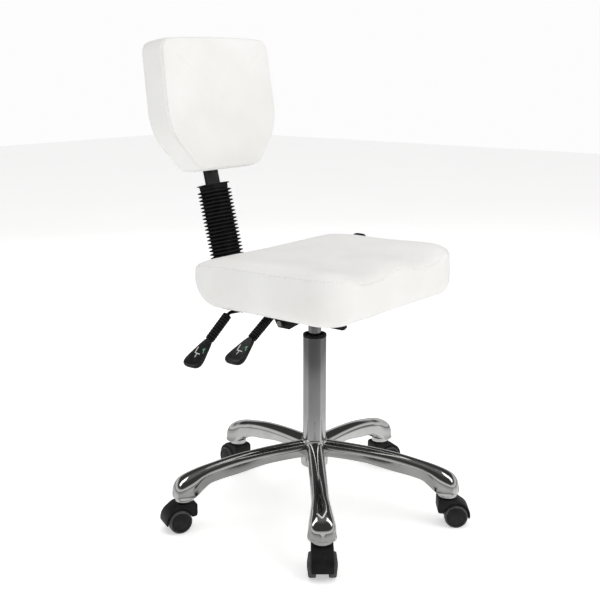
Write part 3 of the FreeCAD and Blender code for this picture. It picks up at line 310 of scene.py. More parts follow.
class Surface:
    """A principled material whose texture reads the object's own coordinates."""

    def __init__(self, name, roughness, metallic=0.0, **fixed):
        self.material = bpy.data.materials.new(name)
        self.material.use_nodes = True
        self.tree = self.material.node_tree
        self.nodes, self.links = self.tree.nodes, self.tree.links
        self.shader = set_sockets(self.nodes["Principled BSDF"], fixed)
        set_sockets(self.shader, {"Roughness": roughness, "Metallic": metallic})
        self.place = add_node(self.tree, "TexCoord").outputs["Object"]
        self.height = None

    def at(self, node, place=None):
        """Lay a texture over the object's coordinates, or over stretched ones."""
        self.links.new(place or self.place, node.inputs["Vector"])
        return node

    def stretched(self, scale):
        return self.at(add_node(self.tree, "Mapping", Scale=scale)).outputs["Vector"]

    def noise(self, scale, detail, place=None):
        node = add_node(self.tree, "TexNoise", Scale=scale, Detail=detail, Roughness=0.55)
        return self.at(node, place).outputs["Fac"]

    def cells(self, scale):
        node = add_node(self.tree, "TexVoronoi", Scale=scale)
        node.feature = "SMOOTH_F1"
        return self.at(node).outputs["Distance"]

    def waves(self, scale, distortion, direction, place=None, detail=2.0):
        node = add_node(self.tree, "TexWave", Scale=scale, Distortion=distortion, Detail=detail)
        node.bands_direction = direction
        return self.at(node, place).outputs["Fac"]

    def span(self, value, low, high, start=0.3, end=0.7):
        """Turn a texture's middle range into a range of numbers."""
        node = add_node(self.tree, "MapRange", From_Min=start, From_Max=end, To_Min=low, To_Max=high)
        self.links.new(value, node.inputs["Value"])
        return node.outputs["Result"]

    def feed(self, socket, value):
        self.links.new(value, self.shader.inputs[socket])

    def mottle(self, value, stops):
        """Colour the surface by a texture."""
        self.material.diffuse_color = (*stops[0][1], 1)
        self.feed("Base Color", colour_ramp(self.tree, value, stops))

    def bump(self, value, depth, strength, invert=False):
        """Add relief to what is there already; depth is in millimetres."""
        node = add_node(self.tree, "Bump", Strength=strength, Distance=depth * MM)
        node.invert = invert
        self.links.new(value, node.inputs["Height"])
        if self.height is not None:
            self.links.new(self.height, node.inputs["Normal"])
        self.height = node.outputs["Normal"]
        self.links.new(self.height, self.shader.inputs["Normal"])

    def edge_wear(self, colour, amount):
        """Lighter rubbed edges over a mottled colour, from how sharply the surface curves."""
        curving = add_node(self.tree, "NewGeometry").outputs["Pointiness"]
        worn = self.span(curving, 0.0, amount, 0.53, 0.62)
        mix = add_node(self.tree, "Mix")
        mix.data_type = "RGBA"
        base = self.shader.inputs["Base Color"]
        self.links.new(base.links[0].from_socket, mix.inputs["A"])
        mix.inputs["B"].default_value = (*colour, 1)
        self.links.new(worn, mix.inputs["Factor"])
        self.links.new(mix.outputs["Result"], base)


def metal(name, colour, dark, roughness, spread, scratch=0.004):
    """Polished metal: faint clouding, fine polishing marks and a slightly uneven gloss."""
    made = Surface(name, roughness, 1.0)
    cloud = made.noise(26, 4)
    made.mottle(cloud, [(0.3, dark), (0.7, colour)])
    marks = made.noise(900, 2, place=made.stretched((1, 1, 0.06)))
    made.feed("Roughness", made.span(marks, roughness, roughness + spread))
    made.bump(marks, scratch, 0.35)
    return made.material


def painted(name, colour, roughness):
    """Powder-coated steel with orange peel and rubbed edges."""
    made = Surface(name, roughness, 0.0, Specular_IOR_Level=0.28)
    light = tuple(c * 1.6 + 0.004 for c in colour)
    made.mottle(made.noise(40, 4), [(0.35, colour), (0.75, light)])
    made.edge_wear((0.06, 0.06, 0.06), 0.5)
    made.feed("Roughness", made.span(made.noise(120, 3), roughness - 0.06, roughness + 0.1))
    made.bump(made.noise(650, 2), 0.03, 0.5)
    return made.material


def plastic(name, colour, roughness, grain, depth, coat=0.0):
    """Moulded plastic: fine spark-eroded grain, faint clouding and scuffs."""
    made = Surface(name, roughness, 0.0, Specular_IOR_Level=0.28, Coat_Weight=coat, Coat_Roughness=0.18)
    light = tuple(c * 1.5 + 0.006 for c in colour)
    made.mottle(made.noise(60, 5), [(0.38, colour), (0.8, light)])
    made.edge_wear(tuple(c * 2.6 + 0.02 for c in colour), 0.45)
    scuffs = made.noise(260, 4, place=made.stretched((1, 0.2, 1)))
    made.feed("Roughness", made.span(scuffs, roughness - 0.05, roughness + 0.09))
    made.bump(made.noise(grain, 2), depth, 0.5)
    return made.material


def leatherette():
    """White coated fabric: fine pebbled grain, slight warm mottling and a soft sheen."""
    made = Surface(
        "White leatherette",
        0.46,
        Specular_IOR_Level=0.42,
        Sheen_Weight=0.12,
        Sheen_Roughness=0.5,
        Coat_Weight=0.06,
        Coat_Roughness=0.32,
    )
    made.mottle(made.noise(9, 6), [(0.25, (0.83, 0.822, 0.80)), (0.75, (0.90, 0.896, 0.884))])
    pebbles = made.cells(620)
    made.feed("Roughness", made.span(pebbles, 0.41, 0.53, 0.1, 0.6))
    made.bump(made.noise(34, 4), 0.5, 0.35)
    made.bump(pebbles, 0.12, 0.5, invert=True)
    made.bump(made.noise(2100, 2), 0.03, 0.35)
    return made.material


def rubber():
    made = Surface("Black rubber", 0.6, Specular_IOR_Level=0.22)
    made.mottle(made.noise(45, 5), [(0.35, (0.005, 0.005, 0.0055)), (0.8, (0.013, 0.013, 0.014))])
    made.edge_wear((0.07, 0.07, 0.072), 0.4)
    made.feed("Roughness", made.span(made.noise(160, 3), 0.5, 0.72))
    made.bump(made.noise(900, 3), 0.05, 0.5)
    return made.material


def tread():
    """Grey wheel tread, clouded and scuffed by the floor."""
    made = Surface("Grey wheel tread", 0.5, Specular_IOR_Level=0.45)
    made.mottle(made.noise(70, 5), [(0.3, (0.035, 0.035, 0.037)), (0.75, (0.085, 0.085, 0.088))])
    made.edge_wear((0.2, 0.2, 0.2), 0.5)
    made.feed("Roughness", made.span(made.noise(240, 4), 0.4, 0.62))
    made.bump(made.noise(800, 3), 0.05, 0.5)
    return made.material


def plywood():
    made = Surface("Plywood", 0.62, Specular_IOR_Level=0.3)
    grain = made.waves(14, 5, "X", place=made.stretched((1, 0.12, 6)), detail=4)
    made.mottle(grain, [(0.1, (0.36, 0.22, 0.11)), (0.6, (0.58, 0.41, 0.24)), (1.0, (0.66, 0.49, 0.31))])
    made.feed("Roughness", made.span(made.noise(90, 3), 0.55, 0.75))
    made.bump(grain, 0.15, 0.4)
    return made.material


def cloth():
    """Thin woven cover under the seat."""
    made = Surface("Black cloth", 0.9, Sheen_Weight=0.4, Sheen_Roughness=0.6, Specular_IOR_Level=0.2)
    warp = made.waves(320, 0.3, "X")
    weft = made.waves(320, 0.3, "Y")
    made.mottle(warp, [(0.2, (0.010, 0.010, 0.011)), (0.9, (0.035, 0.035, 0.037))])
    made.feed("Roughness", made.span(weft, 0.82, 0.95))
    made.bump(warp, 0.15, 0.6)
    made.bump(weft, 0.15, 0.6)
    return made.material


def print_ink(name, colour):
    made = Surface(name, 0.5, Specular_IOR_Level=0.4)
    dull = tuple(c * 0.75 for c in colour)
    made.mottle(made.noise(500, 4), [(0.3, dull), (0.65, colour)])
    made.bump(made.noise(1500, 2), 0.02, 0.4)
    return made.material


FINISH = {
    "polished_aluminium": metal("Polished aluminium", (0.80, 0.80, 0.79), (0.70, 0.70, 0.69), 0.06, 0.05),
    "chrome_plate": metal("Chrome plate", (0.72, 0.72, 0.725), (0.66, 0.66, 0.665), 0.045, 0.03, 0.002),
    "bright_steel": metal("Bright steel", (0.78, 0.78, 0.78), (0.66, 0.66, 0.66), 0.12, 0.08),
    "zinc_steel": metal("Zinc-plated steel", (0.60, 0.60, 0.57), (0.46, 0.46, 0.43), 0.28, 0.14, 0.01),
    "black_nylon": plastic("Black nylon", (0.006, 0.006, 0.0065), 0.44, 750, 0.05),
    "caster_wheel": plastic("Wheel hub plastic", (0.010, 0.010, 0.0105), 0.42, 700, 0.04),
    "black_steel": painted("Black powder coat", (0.005, 0.005, 0.0055), 0.5),
    "black_rubber": rubber(),
    "black_plastic": plastic("Black glossy plastic", (0.007, 0.007, 0.0075), 0.3, 900, 0.03, coat=0.25),
    "white_leatherette": leatherette(),
    "plywood": plywood(),
    "black_cloth": cloth(),
}
TREAD = tread()
MINT_INK = print_ink("Mint ink", (0.22, 0.62, 0.38))
WHITE_INK = print_ink("White ink", (0.78, 0.80, 0.78))

SLOT_OF = {row["node"]: row["material_slot"] for row in frame["record"]["subparts"]}
for node, obj in NODES.items():
    obj.data.materials.clear()
    obj.data.materials.append(FINISH[SLOT_OF[node]])


def dress(obj, body, slot, *nodes, finish=None):
    """Give a piece the material of its slot or a finish of its own, attach it to its body, and let it stand
    for CAD nodes.
    """
    obj.data.materials.clear()
    obj.data.materials.append(finish or FINISH[slot])
    if nodes:
        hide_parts(*nodes)
    if body:
        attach(obj, body)


# ---------------------------------------------------------------- camera, light and floor

FLOOR_HALF, FLOOR_GLOW = 9000, 0.42
POOL_REACH = 2.5  # metres from the origin at which the mirrored floor stops getting darker
ROOM_LIGHT, BACKDROP = 0.54, 0.98

camera = bpy.data.objects.new("Camera", bpy.data.cameras.new("Camera"))
bpy.context.scene.collection.objects.link(camera)
camera.location = (-1.6487, -1.2723, 0.9690)
camera.rotation_euler = Euler((math.radians(76.77), 0, math.radians(-51.47)))
camera.data.sensor_width = 36
camera.data.lens = 60.19
camera.data.shift_y = -0.0026
bpy.context.scene.camera = camera


def area_light(name, at, aim, size, power, tint=(1, 1, 1), mirrored=False):
    """A soft light for the white parts, or one that only polished surfaces mirror."""
    data = bpy.data.lights.new(name, "AREA")
    data.shape = "RECTANGLE"
    data.size, data.size_y = size
    data.energy = power
    data.color = tint
    obj = bpy.data.objects.new(name, data)
    bpy.context.scene.collection.objects.link(obj)
    obj.location = at
    obj.rotation_euler = (Vector(aim) - Vector(at)).to_track_quat("-Z", "Y").to_euler()
    obj.visible_glossy = mirrored
    obj.visible_diffuse = not mirrored


def make_floor():
    """A pale floor that polished metal mirrors as a pool of light round the object."""
    corners = [(x * FLOOR_HALF, y * FLOOR_HALF, 0) for x, y in ((-1, -1), (1, -1), (1, 1), (-1, 1))]
    floor = from_points("Floor", corners, [(0, 1, 2, 3)])
    glow = {"Emission_Color": (1, 1, 1, 1), "Emission_Strength": FLOOR_GLOW}
    made = Surface("Floor", 0.6, Specular_IOR_Level=0.2, **glow)
    made.mottle(made.noise(1.5, 2), [(0.3, (0.95, 0.95, 0.945)), (0.7, (0.97, 0.97, 0.965))])
    reach = made.at(add_node(made.tree, "TexGradient"), made.stretched([1 / POOL_REACH] * 3))
    reach.gradient_type = "SPHERICAL"
    nearness = [
        (0.0, 0.20), (0.30, 0.23), (0.36, 0.28), (0.47, 0.40), (0.60, 0.50), (0.72, 0.56), (0.85, 0.9),
        (1.0, 1.0),
    ]
    round_it = made.at(add_node(made.tree, "TexGradient"))
    round_it.gradient_type = "RADIAL"
    bands = [(0.0, 0.58), (0.26, 0.62), (0.28, 1.0), (0.92, 0.95), (0.94, 0.6)]
    product = add_node(made.tree, "VectorMath")
    product.operation = "MULTIPLY"
    made.links.new(grey_ramp(made.tree, reach.outputs["Fac"], nearness), product.inputs[0])
    made.links.new(grey_ramp(made.tree, round_it.outputs["Fac"], bands), product.inputs[1])
    pool = add_node(made.tree, "BsdfDiffuse")
    made.links.new(product.outputs["Vector"], pool.inputs["Color"])
    show(made.tree, made.shader.outputs["BSDF"], pool.outputs["BSDF"], made.nodes["Material Output"])
    floor.data.materials.append(made.material)


def make_room():
    """White all round; polished metal mirrors a dimmer room, pale at eye level and dark above."""
    world = bpy.data.worlds.new("Studio")
    bpy.context.scene.world = world
    world.use_nodes = True
    tree = world.node_tree
    tree.nodes.clear()
    plain = add_node(tree, "Background", Color=(1, 1, 1, 1))
    brightness = add_node(tree, "MapRange", To_Min=ROOM_LIGHT, To_Max=BACKDROP)
    to_camera = add_node(tree, "LightPath").outputs["Is Camera Ray"]
    tree.links.new(to_camera, brightness.inputs["Value"])
    tree.links.new(brightness.outputs["Result"], plain.inputs["Strength"])
    split = add_node(tree, "SeparateXYZ")
    tree.links.new(add_node(tree, "TexCoord").outputs["Generated"], split.inputs["Vector"])
    level = add_node(tree, "MapRange", From_Min=-1)
    tree.links.new(split.outputs["Z"], level.inputs["Value"])
    stops = [(0.44, 0.50), (0.54, 0.60), (0.60, 0.50), (0.66, 0.04), (0.90, 0.04), (0.97, 0.12), (1.0, 0.16)]
    room = add_node(tree, "Background")
    tree.links.new(grey_ramp(tree, level.outputs["Result"], stops), room.inputs["Color"])
    show(tree, plain.outputs["Background"], room.outputs["Background"], add_node(tree, "OutputWorld"))


def make_studio():
    area_light("Key", (0.6, -3.0, 2.6), (0, 0, 0.5), (2.6, 2.0), 38, (1.0, 0.99, 0.97))
    area_light("Fill", (-3.0, 0.6, 1.7), (0, 0, 0.5), (2.2, 2.4), 8, (0.98, 0.99, 1.0))
    area_light("Top", (0.0, 0.0, 3.4), (0, 0, 0), (2.8, 2.8), 26)
    area_light("Rear", (1.6, 2.6, 2.0), (0, 0, 0.6), (2.0, 1.6), 13)
    area_light("Left box", (-1.56, 1.41, 2.2), (0, 0, 0.1), (1.2, 2.2), 17, mirrored=True)
    area_light("Right box", (0.99, -1.85, 2.2), (0, 0, 0.1), (1.2, 2.2), 17, mirrored=True)
    make_floor()
    make_room()
    bpy.context.scene.view_settings.view_transform = "Standard"


make_studio()

# ---------------------------------------------------------------- base

ARMS = 5
ARM_TURN = [math.radians(-139.28 + 72 * k) for k in range(ARMS)]
TRAIL_TURN = [math.radians(t) for t in (-141, -52, -25, 76, 155)]
STEM_CIRCLE = 296
ARM_WALL, ARM_CROWN = 4.0, 10  # metal beside the channel under an arm, and over it

# Each curve runs outward from the column's axis.
arm_half_width = track([
    (20, 19), (36, 19.5), (100, 18.4), (170, 17.6), (232, 18), (254, 20), (270, 23.4), (284, 26.2),
    (296, 27), (305, 26), (312, 22.4), (317, 16), (320, 5),
])
arm_top = track([
    (20, 163), (36, 162), (101, 158), (169, 150.5), (237, 137), (282, 124.5), (303, 114.5),
    (311, 106.5), (317, 96.5), (320, 86),
])
arm_foot = track([
    (20, 128), (37, 130), (107, 126), (175, 113), (240, 100), (259, 88), (269, 81), (277, 76),
    (287, 72.8), (296, 72), (316, 72.4), (320, 75),
])
arm_hollow = track([(20, 0), (46, 0), (60, 1), (200, 1), (246, 0.55), (262, 0), (320, 0)])
arm_dome = track([(20, 0), (250, 0), (282, 1), (320, 1)])


def stem_at(turn):
    """Carries a part from the origin to the end of an arm."""
    return Matrix.Translation(Vector((math.cos(turn), math.sin(turn), 0)) * STEM_CIRCLE * MM)


def arm_ring(r):
    """An arm's closed section: crest, creased shoulders, upright sides and the channel under it."""
    w, top, foot, hollow, dome = arm_half_width(r), arm_top(r), arm_foot(r), arm_hollow(r), arm_dome(r)
    height = top - foot
    ridge = [
        (0, 0), (0.22, 0.4), (0.45, 1.6), (0.66, 3.6), (0.82, 6.6), (0.93, 10.6), (0.975, 14.2),
        (1.0, 15.4), (1.0, 17.2),
    ]
    side = []
    for i, (across, drop) in enumerate(ridge):
        turn = math.pi / 2 * i / (len(ridge) - 1)
        arm_point = (across * w, top - min(drop, height * 0.8))
        dome_point = (w * math.sin(turn) ** 0.9, foot + height * (0.34 + 0.66 * math.cos(turn) ** 0.85))
        side.append(tuple(a * (1 - dome) + b * dome for a, b in zip(arm_point, dome_point)))
    low_side = side[-1][1]
    flare = 0.12 * dome
    for share in (0.35, 0.7):
        out = w * (1 - 0.035 * share + flare * share**2)
        side.append((out, low_side + (foot + 2.2 - low_side) * share))
    side += [(w * (0.955 + flare), foot + 2.2), (w * (0.93 + flare), foot + 0.7), (w * (0.90 + flare), foot)]
    inner = max(w * 0.9 - ARM_WALL, 0.5)
    depth = max(height - ARM_CROWN, 1) * hollow
    side += [
        (inner, foot), (inner * 0.97, foot + depth * 0.5), (inner * 0.9, foot + depth * 0.9),
        (inner * 0.6, foot + depth), (0, foot + depth),
    ]
    mirrored = [(-a, z) for a, z in side[1:-1]]
    return [(r, a, z) for a, z in side + mirrored[::-1]]


def arm_stations():
    """Distances from the axis at which an arm has a section, closest at its round tip."""
    out = [20 + 4.5 * k for k in range(50)]
    out += [245 + 3 * k for k in range(20)]
    out += [304.5 + 16 * math.sin(math.pi / 2 * k / 12) for k in range(13)]
    return out


def make_base():
    arm = loft("Arm", [arm_ring(r) for r in arm_stations()], 30)
    parts = []
    for turn in ARM_TURN:
        copy = link("Arm", arm.data.copy())
        copy.data.transform(Matrix.Rotation(turn, 4, "Z"))
        parts.append(copy)
        ring = lathe("Ring", [(6.5, 64), (19, 64), (19.5, 65), (19.5, 74), (6.5, 74)], 64, 0.4)
        ring.data.transform(stem_at(turn))
        parts.append(ring)
    bpy.data.objects.remove(arm)
    hub = [
        (24.4, 104), (27.6, 104), (29.4, 106.4), (29.4, 148), (28.8, 155), (27.6, 158.4),
        (27.6, 165), (25.3, 165.6), (25.2, 163),
    ]
    parts.append(lathe("Hub", hub, 96, 1.4))
    base = united("Base casting", parts, 28)
    dress(base, "base", "polished_aluminium", "star_base")


make_base()

# ---------------------------------------------------------------- casters

AXLE_X, AXLE_Z = 17, 25


def slab(name, outline, half_width):
    """A flat piece of even width along Y from an outline in X and Z."""
    return loft(name, [[(x, y, z) for x, z in outline] for y in (-half_width, half_width)])


def caster_hood():
    """Neck and fender over the wheels, with the web between them."""
    outer, inner, skirt = 31, 26.6, 19.4

    def arc(radius, start, end, steps):
        turns = [math.radians(start + (end - start) * k / steps) for k in range(steps + 1)]
        return [(AXLE_X + radius * math.cos(a), AXLE_Z + radius * math.sin(a)) for a in turns]

    def angle_at(z, radius):
        return math.degrees(math.asin((z - AXLE_Z) / radius))

    shell = arc(outer, angle_at(skirt, outer), 62, 20)
    shell += [
        (24, 58.2), (17, 60.8), (9, 61.9), (-16, 62), (-20, 60.6), (-22, 57), (-22, 38), (-21.4, 34),
        (-19, 31),
    ]
    shell += arc(inner, 180 - angle_at(30.5, inner), angle_at(skirt, inner), 26)
    fender = soften(slab("Hood", shell, 22), 2.6, 40, 4)
    web = [(-14, 34), (-15, 58), (14, 58), (40, 44), (45, 24), (40, 19.6), (12, 19.2), (2, 21)]
    plate = soften(slab("Web", rounded(web, 4), 12), 0.8, 40, 2)
    return united("Hood", [fender, plate], 30)


def caster_wheel():
    """Hub with a domed face and a dished disc, and a tread with rounded shoulders."""
    hub = [
        (4.05, 12.5), (20.6, 12.5), (20.6, 27.0), (19.2, 28.2), (17.6, 28.3), (17.2, 27.5),
        (16.4, 27.6), (12, 28.9), (5, 29.9), (0, 30), (0, 26.5), (4.05, 26.5),
    ]
    rim = [
        (20.6, 12.5), (24.0, 12.6), (25, 14.2), (25, 23.4), (24.6, 25.4), (23.4, 27.0), (22.2, 27.6),
        (21.3, 27.2), (20.9, 26.2), (20.6, 26.2),
    ]
    return lathe("Hub", hub, 64, 0.5), lathe("Tread", rim, 64, 0.8)


def make_casters():
    hood = caster_hood()
    hub, tyre = caster_wheel()
    hub.data.materials.append(FINISH["caster_wheel"])
    tyre.data.materials.append(TREAD)
    for k in range(ARMS):
        name = f"caster_{k + 1}"
        stance = stem_at(ARM_TURN[k]) @ Matrix.Rotation(TRAIL_TURN[k], 4, "Z")
        piece = link(f"{name}_hood_shell", hood.data.copy())
        piece.data.transform(stance)
        dress(piece, name, "black_nylon", f"{name}_hood")
        for side, turn in (("left", -math.pi / 2), ("right", math.pi / 2)):
            on_axle = Matrix.Translation((AXLE_X * MM, 0, AXLE_Z * MM)) @ Matrix.Rotation(turn, 4, "X")
            for source, what in ((hub, "hub"), (tyre, "tread")):
                piece = link(f"{name}_{side}_{what}", source.data.copy())
                piece.data.transform(stance @ on_axle)
                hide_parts(f"{name}_wheel_{side}")
                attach(piece, f"{name}_{side}")
    for obj in (hood, hub, tyre):
        bpy.data.objects.remove(obj)


make_casters()

# ---------------------------------------------------------------- gas lift


def make_column():
    tube = [(24.2, 104), (25, 164), (25, 396), (23.3, 396), (23.3, 164), (22.5, 104)]
    dress(lathe("Outer tube", tube, 128, 0.5), "base", "chrome_plate", "outer_tube")
    ring = [
        (14.05, 331), (23.2, 331), (23.2, 396.2), (25.4, 396.2), (25.4, 401.4), (24.4, 403),
        (21.6, 403), (20.2, 400.2), (14.05, 399.6),
    ]
    dress(lathe("Column ring", ring, 128, 0.5), "base", "black_nylon", "guide_bushing")
    stem = [
        (5.05, 129), (14, 129), (14, 424), (13.2, 455), (3.05, 455), (3.05, 420), (12.4, 420),
        (12.4, 152), (5.05, 152),
    ]
    dress(lathe("Lift cylinder", stem, 96, 0.6), "mechanism", "bright_steel", "gas_cylinder")


make_column()

# ---------------------------------------------------------------- mechanism, plates and bars


def make_steelwork():
    """The CAD's own plates and bars, each with its edges rounded by a width."""
    for name, body, slot, width, node in (
        ("Mechanism case", "mechanism", "black_steel", 0.7, "mechanism_housing"),
        ("Seat bracket", "seat", "black_steel", 0.7, "seat_plate"),
        ("Seat lock lug", "seat", "black_steel", 0.5, "seat_lock_link"),
        ("Seat rails", "seat", "black_steel", 0.9, "seat_rails"),
        ("Back arm", "back", "black_steel", 1.2, "back_arm"),
        ("Back lock sector", "back", "black_steel", 0.5, "back_lock_link"),
        ("Upright guide", "back", "black_steel", 0.8, "upright_guide"),
        ("Upright bar", "backrest", "black_steel", 1.3, "back_upright"),
        ("Clamp bolts", "mechanism", "zinc_steel", 0.6, "clamp_bolts"),
        ("Seat bolts", "seat", "zinc_steel", 0.8, "seat_bolts"),
        ("Back bolts", "backrest", "zinc_steel", 0.8, "back_bolts"),
        ("Taper socket", "mechanism", "zinc_steel", 0.8, "taper_socket"),
    ):
        dress(soften(cad_shape(name, node), width, 30, 2), body, slot, node)


make_steelwork()

# ---------------------------------------------------------------- levers


def paddle():
    """Leaf-shaped grip along +X with a dished face, made from nested outlines."""
    outline = [
        (0, 7), (5, 8.4), (11, 10.8), (22, 13.8), (34, 17), (46, 20.4), (56, 22.6), (63, 22.8),
        (69, 20.4), (72.5, 15), (73.5, 7),
    ]
    path = outline + [(x, -y) for x, y in reversed(outline)]
    rings = []
    middle = 40
    for shrink, z in (
        (0.86, -5.0), (0.95, -4.4), (1.0, -2.6), (1.0, 1.6), (0.965, 4.2), (0.92, 5.0), (0.84, 4.9),
        (0.80, 4.35), (0.5, 4.3),
    ):
        rings.append([(middle + (x - middle) * shrink, y * shrink, z) for x, y in path])
    return subdivide(loft("Grip", rings, 60), 50)


ICON_MIDDLE, ICON_SIZE = 42, 1.3
ICON_LEVEL, ICON_THICKNESS = 4.32, 0.25  # just over the paddle's dished face


def icon():
    """A plain pictogram of a seat and its back beside an arrow, as thin raised strips."""

    def strip(points, width):
        quads = []
        for (x0, y0), (x1, y1) in zip(points, points[1:]):
            x0, x1 = (ICON_MIDDLE + (x - ICON_MIDDLE) * ICON_SIZE for x in (x0, x1))
            y0, y1 = y0 * ICON_SIZE, y1 * ICON_SIZE
            run = Vector((x1 - x0, y1 - y0))
            n = Vector((-run.y, run.x)).normalized() * width / 2
            e = run.normalized() * width * 0.3
            corners = [
                (x0 - e.x + n.x, y0 - e.y + n.y), (x1 + e.x + n.x, y1 + e.y + n.y),
                (x1 + e.x - n.x, y1 + e.y - n.y), (x0 - e.x - n.x, y0 - e.y - n.y),
            ]
            levels = (ICON_LEVEL, ICON_LEVEL + ICON_THICKNESS)
            quads.append([(x, y, z) for z in levels for x, y in corners])
        return quads

    seat = strip([(30, -7), (41, -5.5), (42, 4.5)], 2.0) + strip([(41.6, -0.5), (49, -0.5)], 1.6)
    arrow = strip([(31, 6.5), (39, 9.6)], 1.4) + strip([(31.2, 9.8), (30.4, 6.2), (33.6, 4.8)], 1.2)
    out = []
    for name, quads in (("Seat mark", seat), ("Arrow mark", arrow)):
        points = [p for quad in quads for p in quad]
        faces = [[8 * k + i for i in face] for k in range(len(quads)) for face in ring_faces(2, 4)]
        out.append(from_points(name, points, faces, 20))
    return out


def sleeve_radii(length, pitch, crest, valley):
    """Distances along a sleeve and its radius there, one ridge to each pitch."""
    out = [(0, crest - 1.6), (0.8, crest)]
    ridges = int(length / pitch)
    gap = length / ridges
    for k in range(ridges):
        start = k * gap
        out += [
            (start + gap * 0.42, crest), (start + gap * 0.56, valley), (start + gap * 0.82, valley),
            (start + gap * 0.95, crest),
        ]
    out += [(length - 0.6, crest), (length, crest - 1.6)]
    clean = [out[0]]
    for along, radius in out[1:]:
        if along > clean[-1][0] + 0.05:
            clean.append((along, radius))
    return clean


SLEEVE_START, SLEEVE_LENGTH = 8, 66


def make_levers():
    """Each lever is set by where its rod bends and by how far it droops from there, in degrees."""
    grip = paddle()
    marks = icon()
    for name, side, y, elbow_x, elbow_z, droop, size in (
        ("lift_lever", -1, 0, 140, 474, 31, 1.0),
        ("back_lock_lever", -1, 84, 178, 470, 36.5, 1.0),
        ("seat_lock_lever", 1, 105, 226, 466, -48, 0.84),
    ):
        elbow = Vector((side * elbow_x, y, elbow_z))
        slope = math.radians(droop)
        along = Vector((side * math.cos(slope), 0, -math.sin(slope)))
        rod = soften(cad_shape(f"{name}_bar", f"{name}_rod"), 0.4, 40, 2)
        dress(rod, name, "black_steel", f"{name}_rod")

        profile = sleeve_radii(SLEEVE_LENGTH, 6.3, 9.5, 6.8)
        path = [elbow + along * (SLEEVE_START + d) for d, _ in profile]
        sleeve = sweep(f"{name}_bellows", path, [r for _, r in profile], 32, 40)
        dress(sleeve, name, "black_rubber", f"{name}_sleeve")

        # The grip's own +X runs out along the lever, and its +Z is the face that looks up.
        face = Vector((side * math.sin(slope), 0, math.cos(slope)))
        turn = Matrix((along, face.cross(along), face)).transposed().to_4x4()
        end = elbow + along * (SLEEVE_START + SLEEVE_LENGTH)
        stance = Matrix.Translation(end * MM) @ turn @ Matrix.Scale(size, 4)
        piece = link(f"{name}_grip", grip.data.copy())
        piece.data.transform(stance)
        dress(piece, name, "black_plastic", f"{name}_paddle")
        for mark, ink in zip(marks, (WHITE_INK, MINT_INK)):
            printed = link(f"{name}_{mark.name.lower()}", mark.data.copy())
            printed.data.transform(stance)
            dress(printed, name, "black_plastic", finish=ink)
    for obj in (grip, *marks):
        bpy.data.objects.remove(obj)


make_levers()

# ---------------------------------------------------------------- bellows on the upright

LEAN = math.radians(14.1)
MAST = Matrix.Translation(Vector((0, 229.5, 455)) * MM) @ Matrix.Rotation(-LEAN, 4, "X")


def rounded_rectangle(half_x, half_y, corner, per_corner=9, per_side=5, rear_corner=None):
    """Points round a rectangle with round corners; those on +Y may have a radius of their own."""
    limit = min(half_x, half_y) - 0.5
    radii = {1: min(rear_corner or corner, limit), -1: min(corner, limit)}
    quarters = ((1, 1), (-1, 1), (-1, -1), (1, -1))

    def on_arc(sx, sy, degrees):
        a, r = math.radians(degrees), radii[sy]
        return (sx * (half_x - r) + r * math.cos(a), sy * (half_y - r) + r * math.sin(a))

    out = []
    for i, (sx, sy) in enumerate(quarters):
        start = 90 * i
        out += [on_arc(sx, sy, start + 90 * k / (per_corner - 1)) for k in range(per_corner)]
        last = out[-1]
        end = on_arc(*quarters[(i + 1) % 4], start + 90)
        for k in range(1, per_side):
            t = k / per_side
            out.append((last[0] * (1 - t) + end[0] * t, last[1] * (1 - t) + end[1] * t))
    return out


BELLOWS_HALF_X, BELLOWS_HALF_Y, BELLOWS_CORNER = 37, 30, 21
MOUTH_HALF_X, MOUTH_HALF_Y = 21.2, 5.4


def bellows_ring(height, out):
    """Section of the bellows, let out from its crests' size; far enough in, it is the mouth's."""
    half_x, half_y = BELLOWS_HALF_X + out, BELLOWS_HALF_Y + out
    if out < -20:
        half_x, half_y = MOUTH_HALF_X, MOUTH_HALF_Y
    return [(x, y, height) for x, y in rounded_rectangle(half_x, half_y, BELLOWS_CORNER + out)]


def make_bellows():
    foot, top, pitch = 46, 255, 8.2
    count = int((top - foot - 6) / pitch)
    rows = [(foot, -12), (foot, -2)]
    for k in range(count):
        start = foot + 1.5 + k * pitch
        rows += [
            (start + 0.6, -1.2), (start + 1.6, 0), (start + 2.4, 0), (start + 3.2, -1.4),
            (start + 5.0, -7.6), (start + 6.2, -8.2), (start + 7.2, -6.8),
        ]
    rows += [
        (top - 3.2, -6.4), (top - 2.2, -1), (top - 1.4, -1), (top, -5), (top, -10), (top - 0.4, -24.4),
        (top - 3, -24.6),
    ]
    # Two sections inside, so that the bellows is a closed shell.
    rows += [(top - 5, -12), (foot + 2, -12)]
    rings = [bellows_ring(height, out) for height, out in rows]
    bellows = loft("Upright bellows", rings, 38, closed=True)
    bellows.data.transform(MAST)
    dress(bellows, None, "black_rubber", "upright_bellows")
    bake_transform(bellows)


make_bellows()

# ---------------------------------------------------------------- cushions

CLOTH_FRAMES = 16
SEAM_HOLD = 3  # cloth this near to a seam stays still
WELT_RADIUS, WELT_SIDES, WELT_SINK = 0.8, 8, 0.3


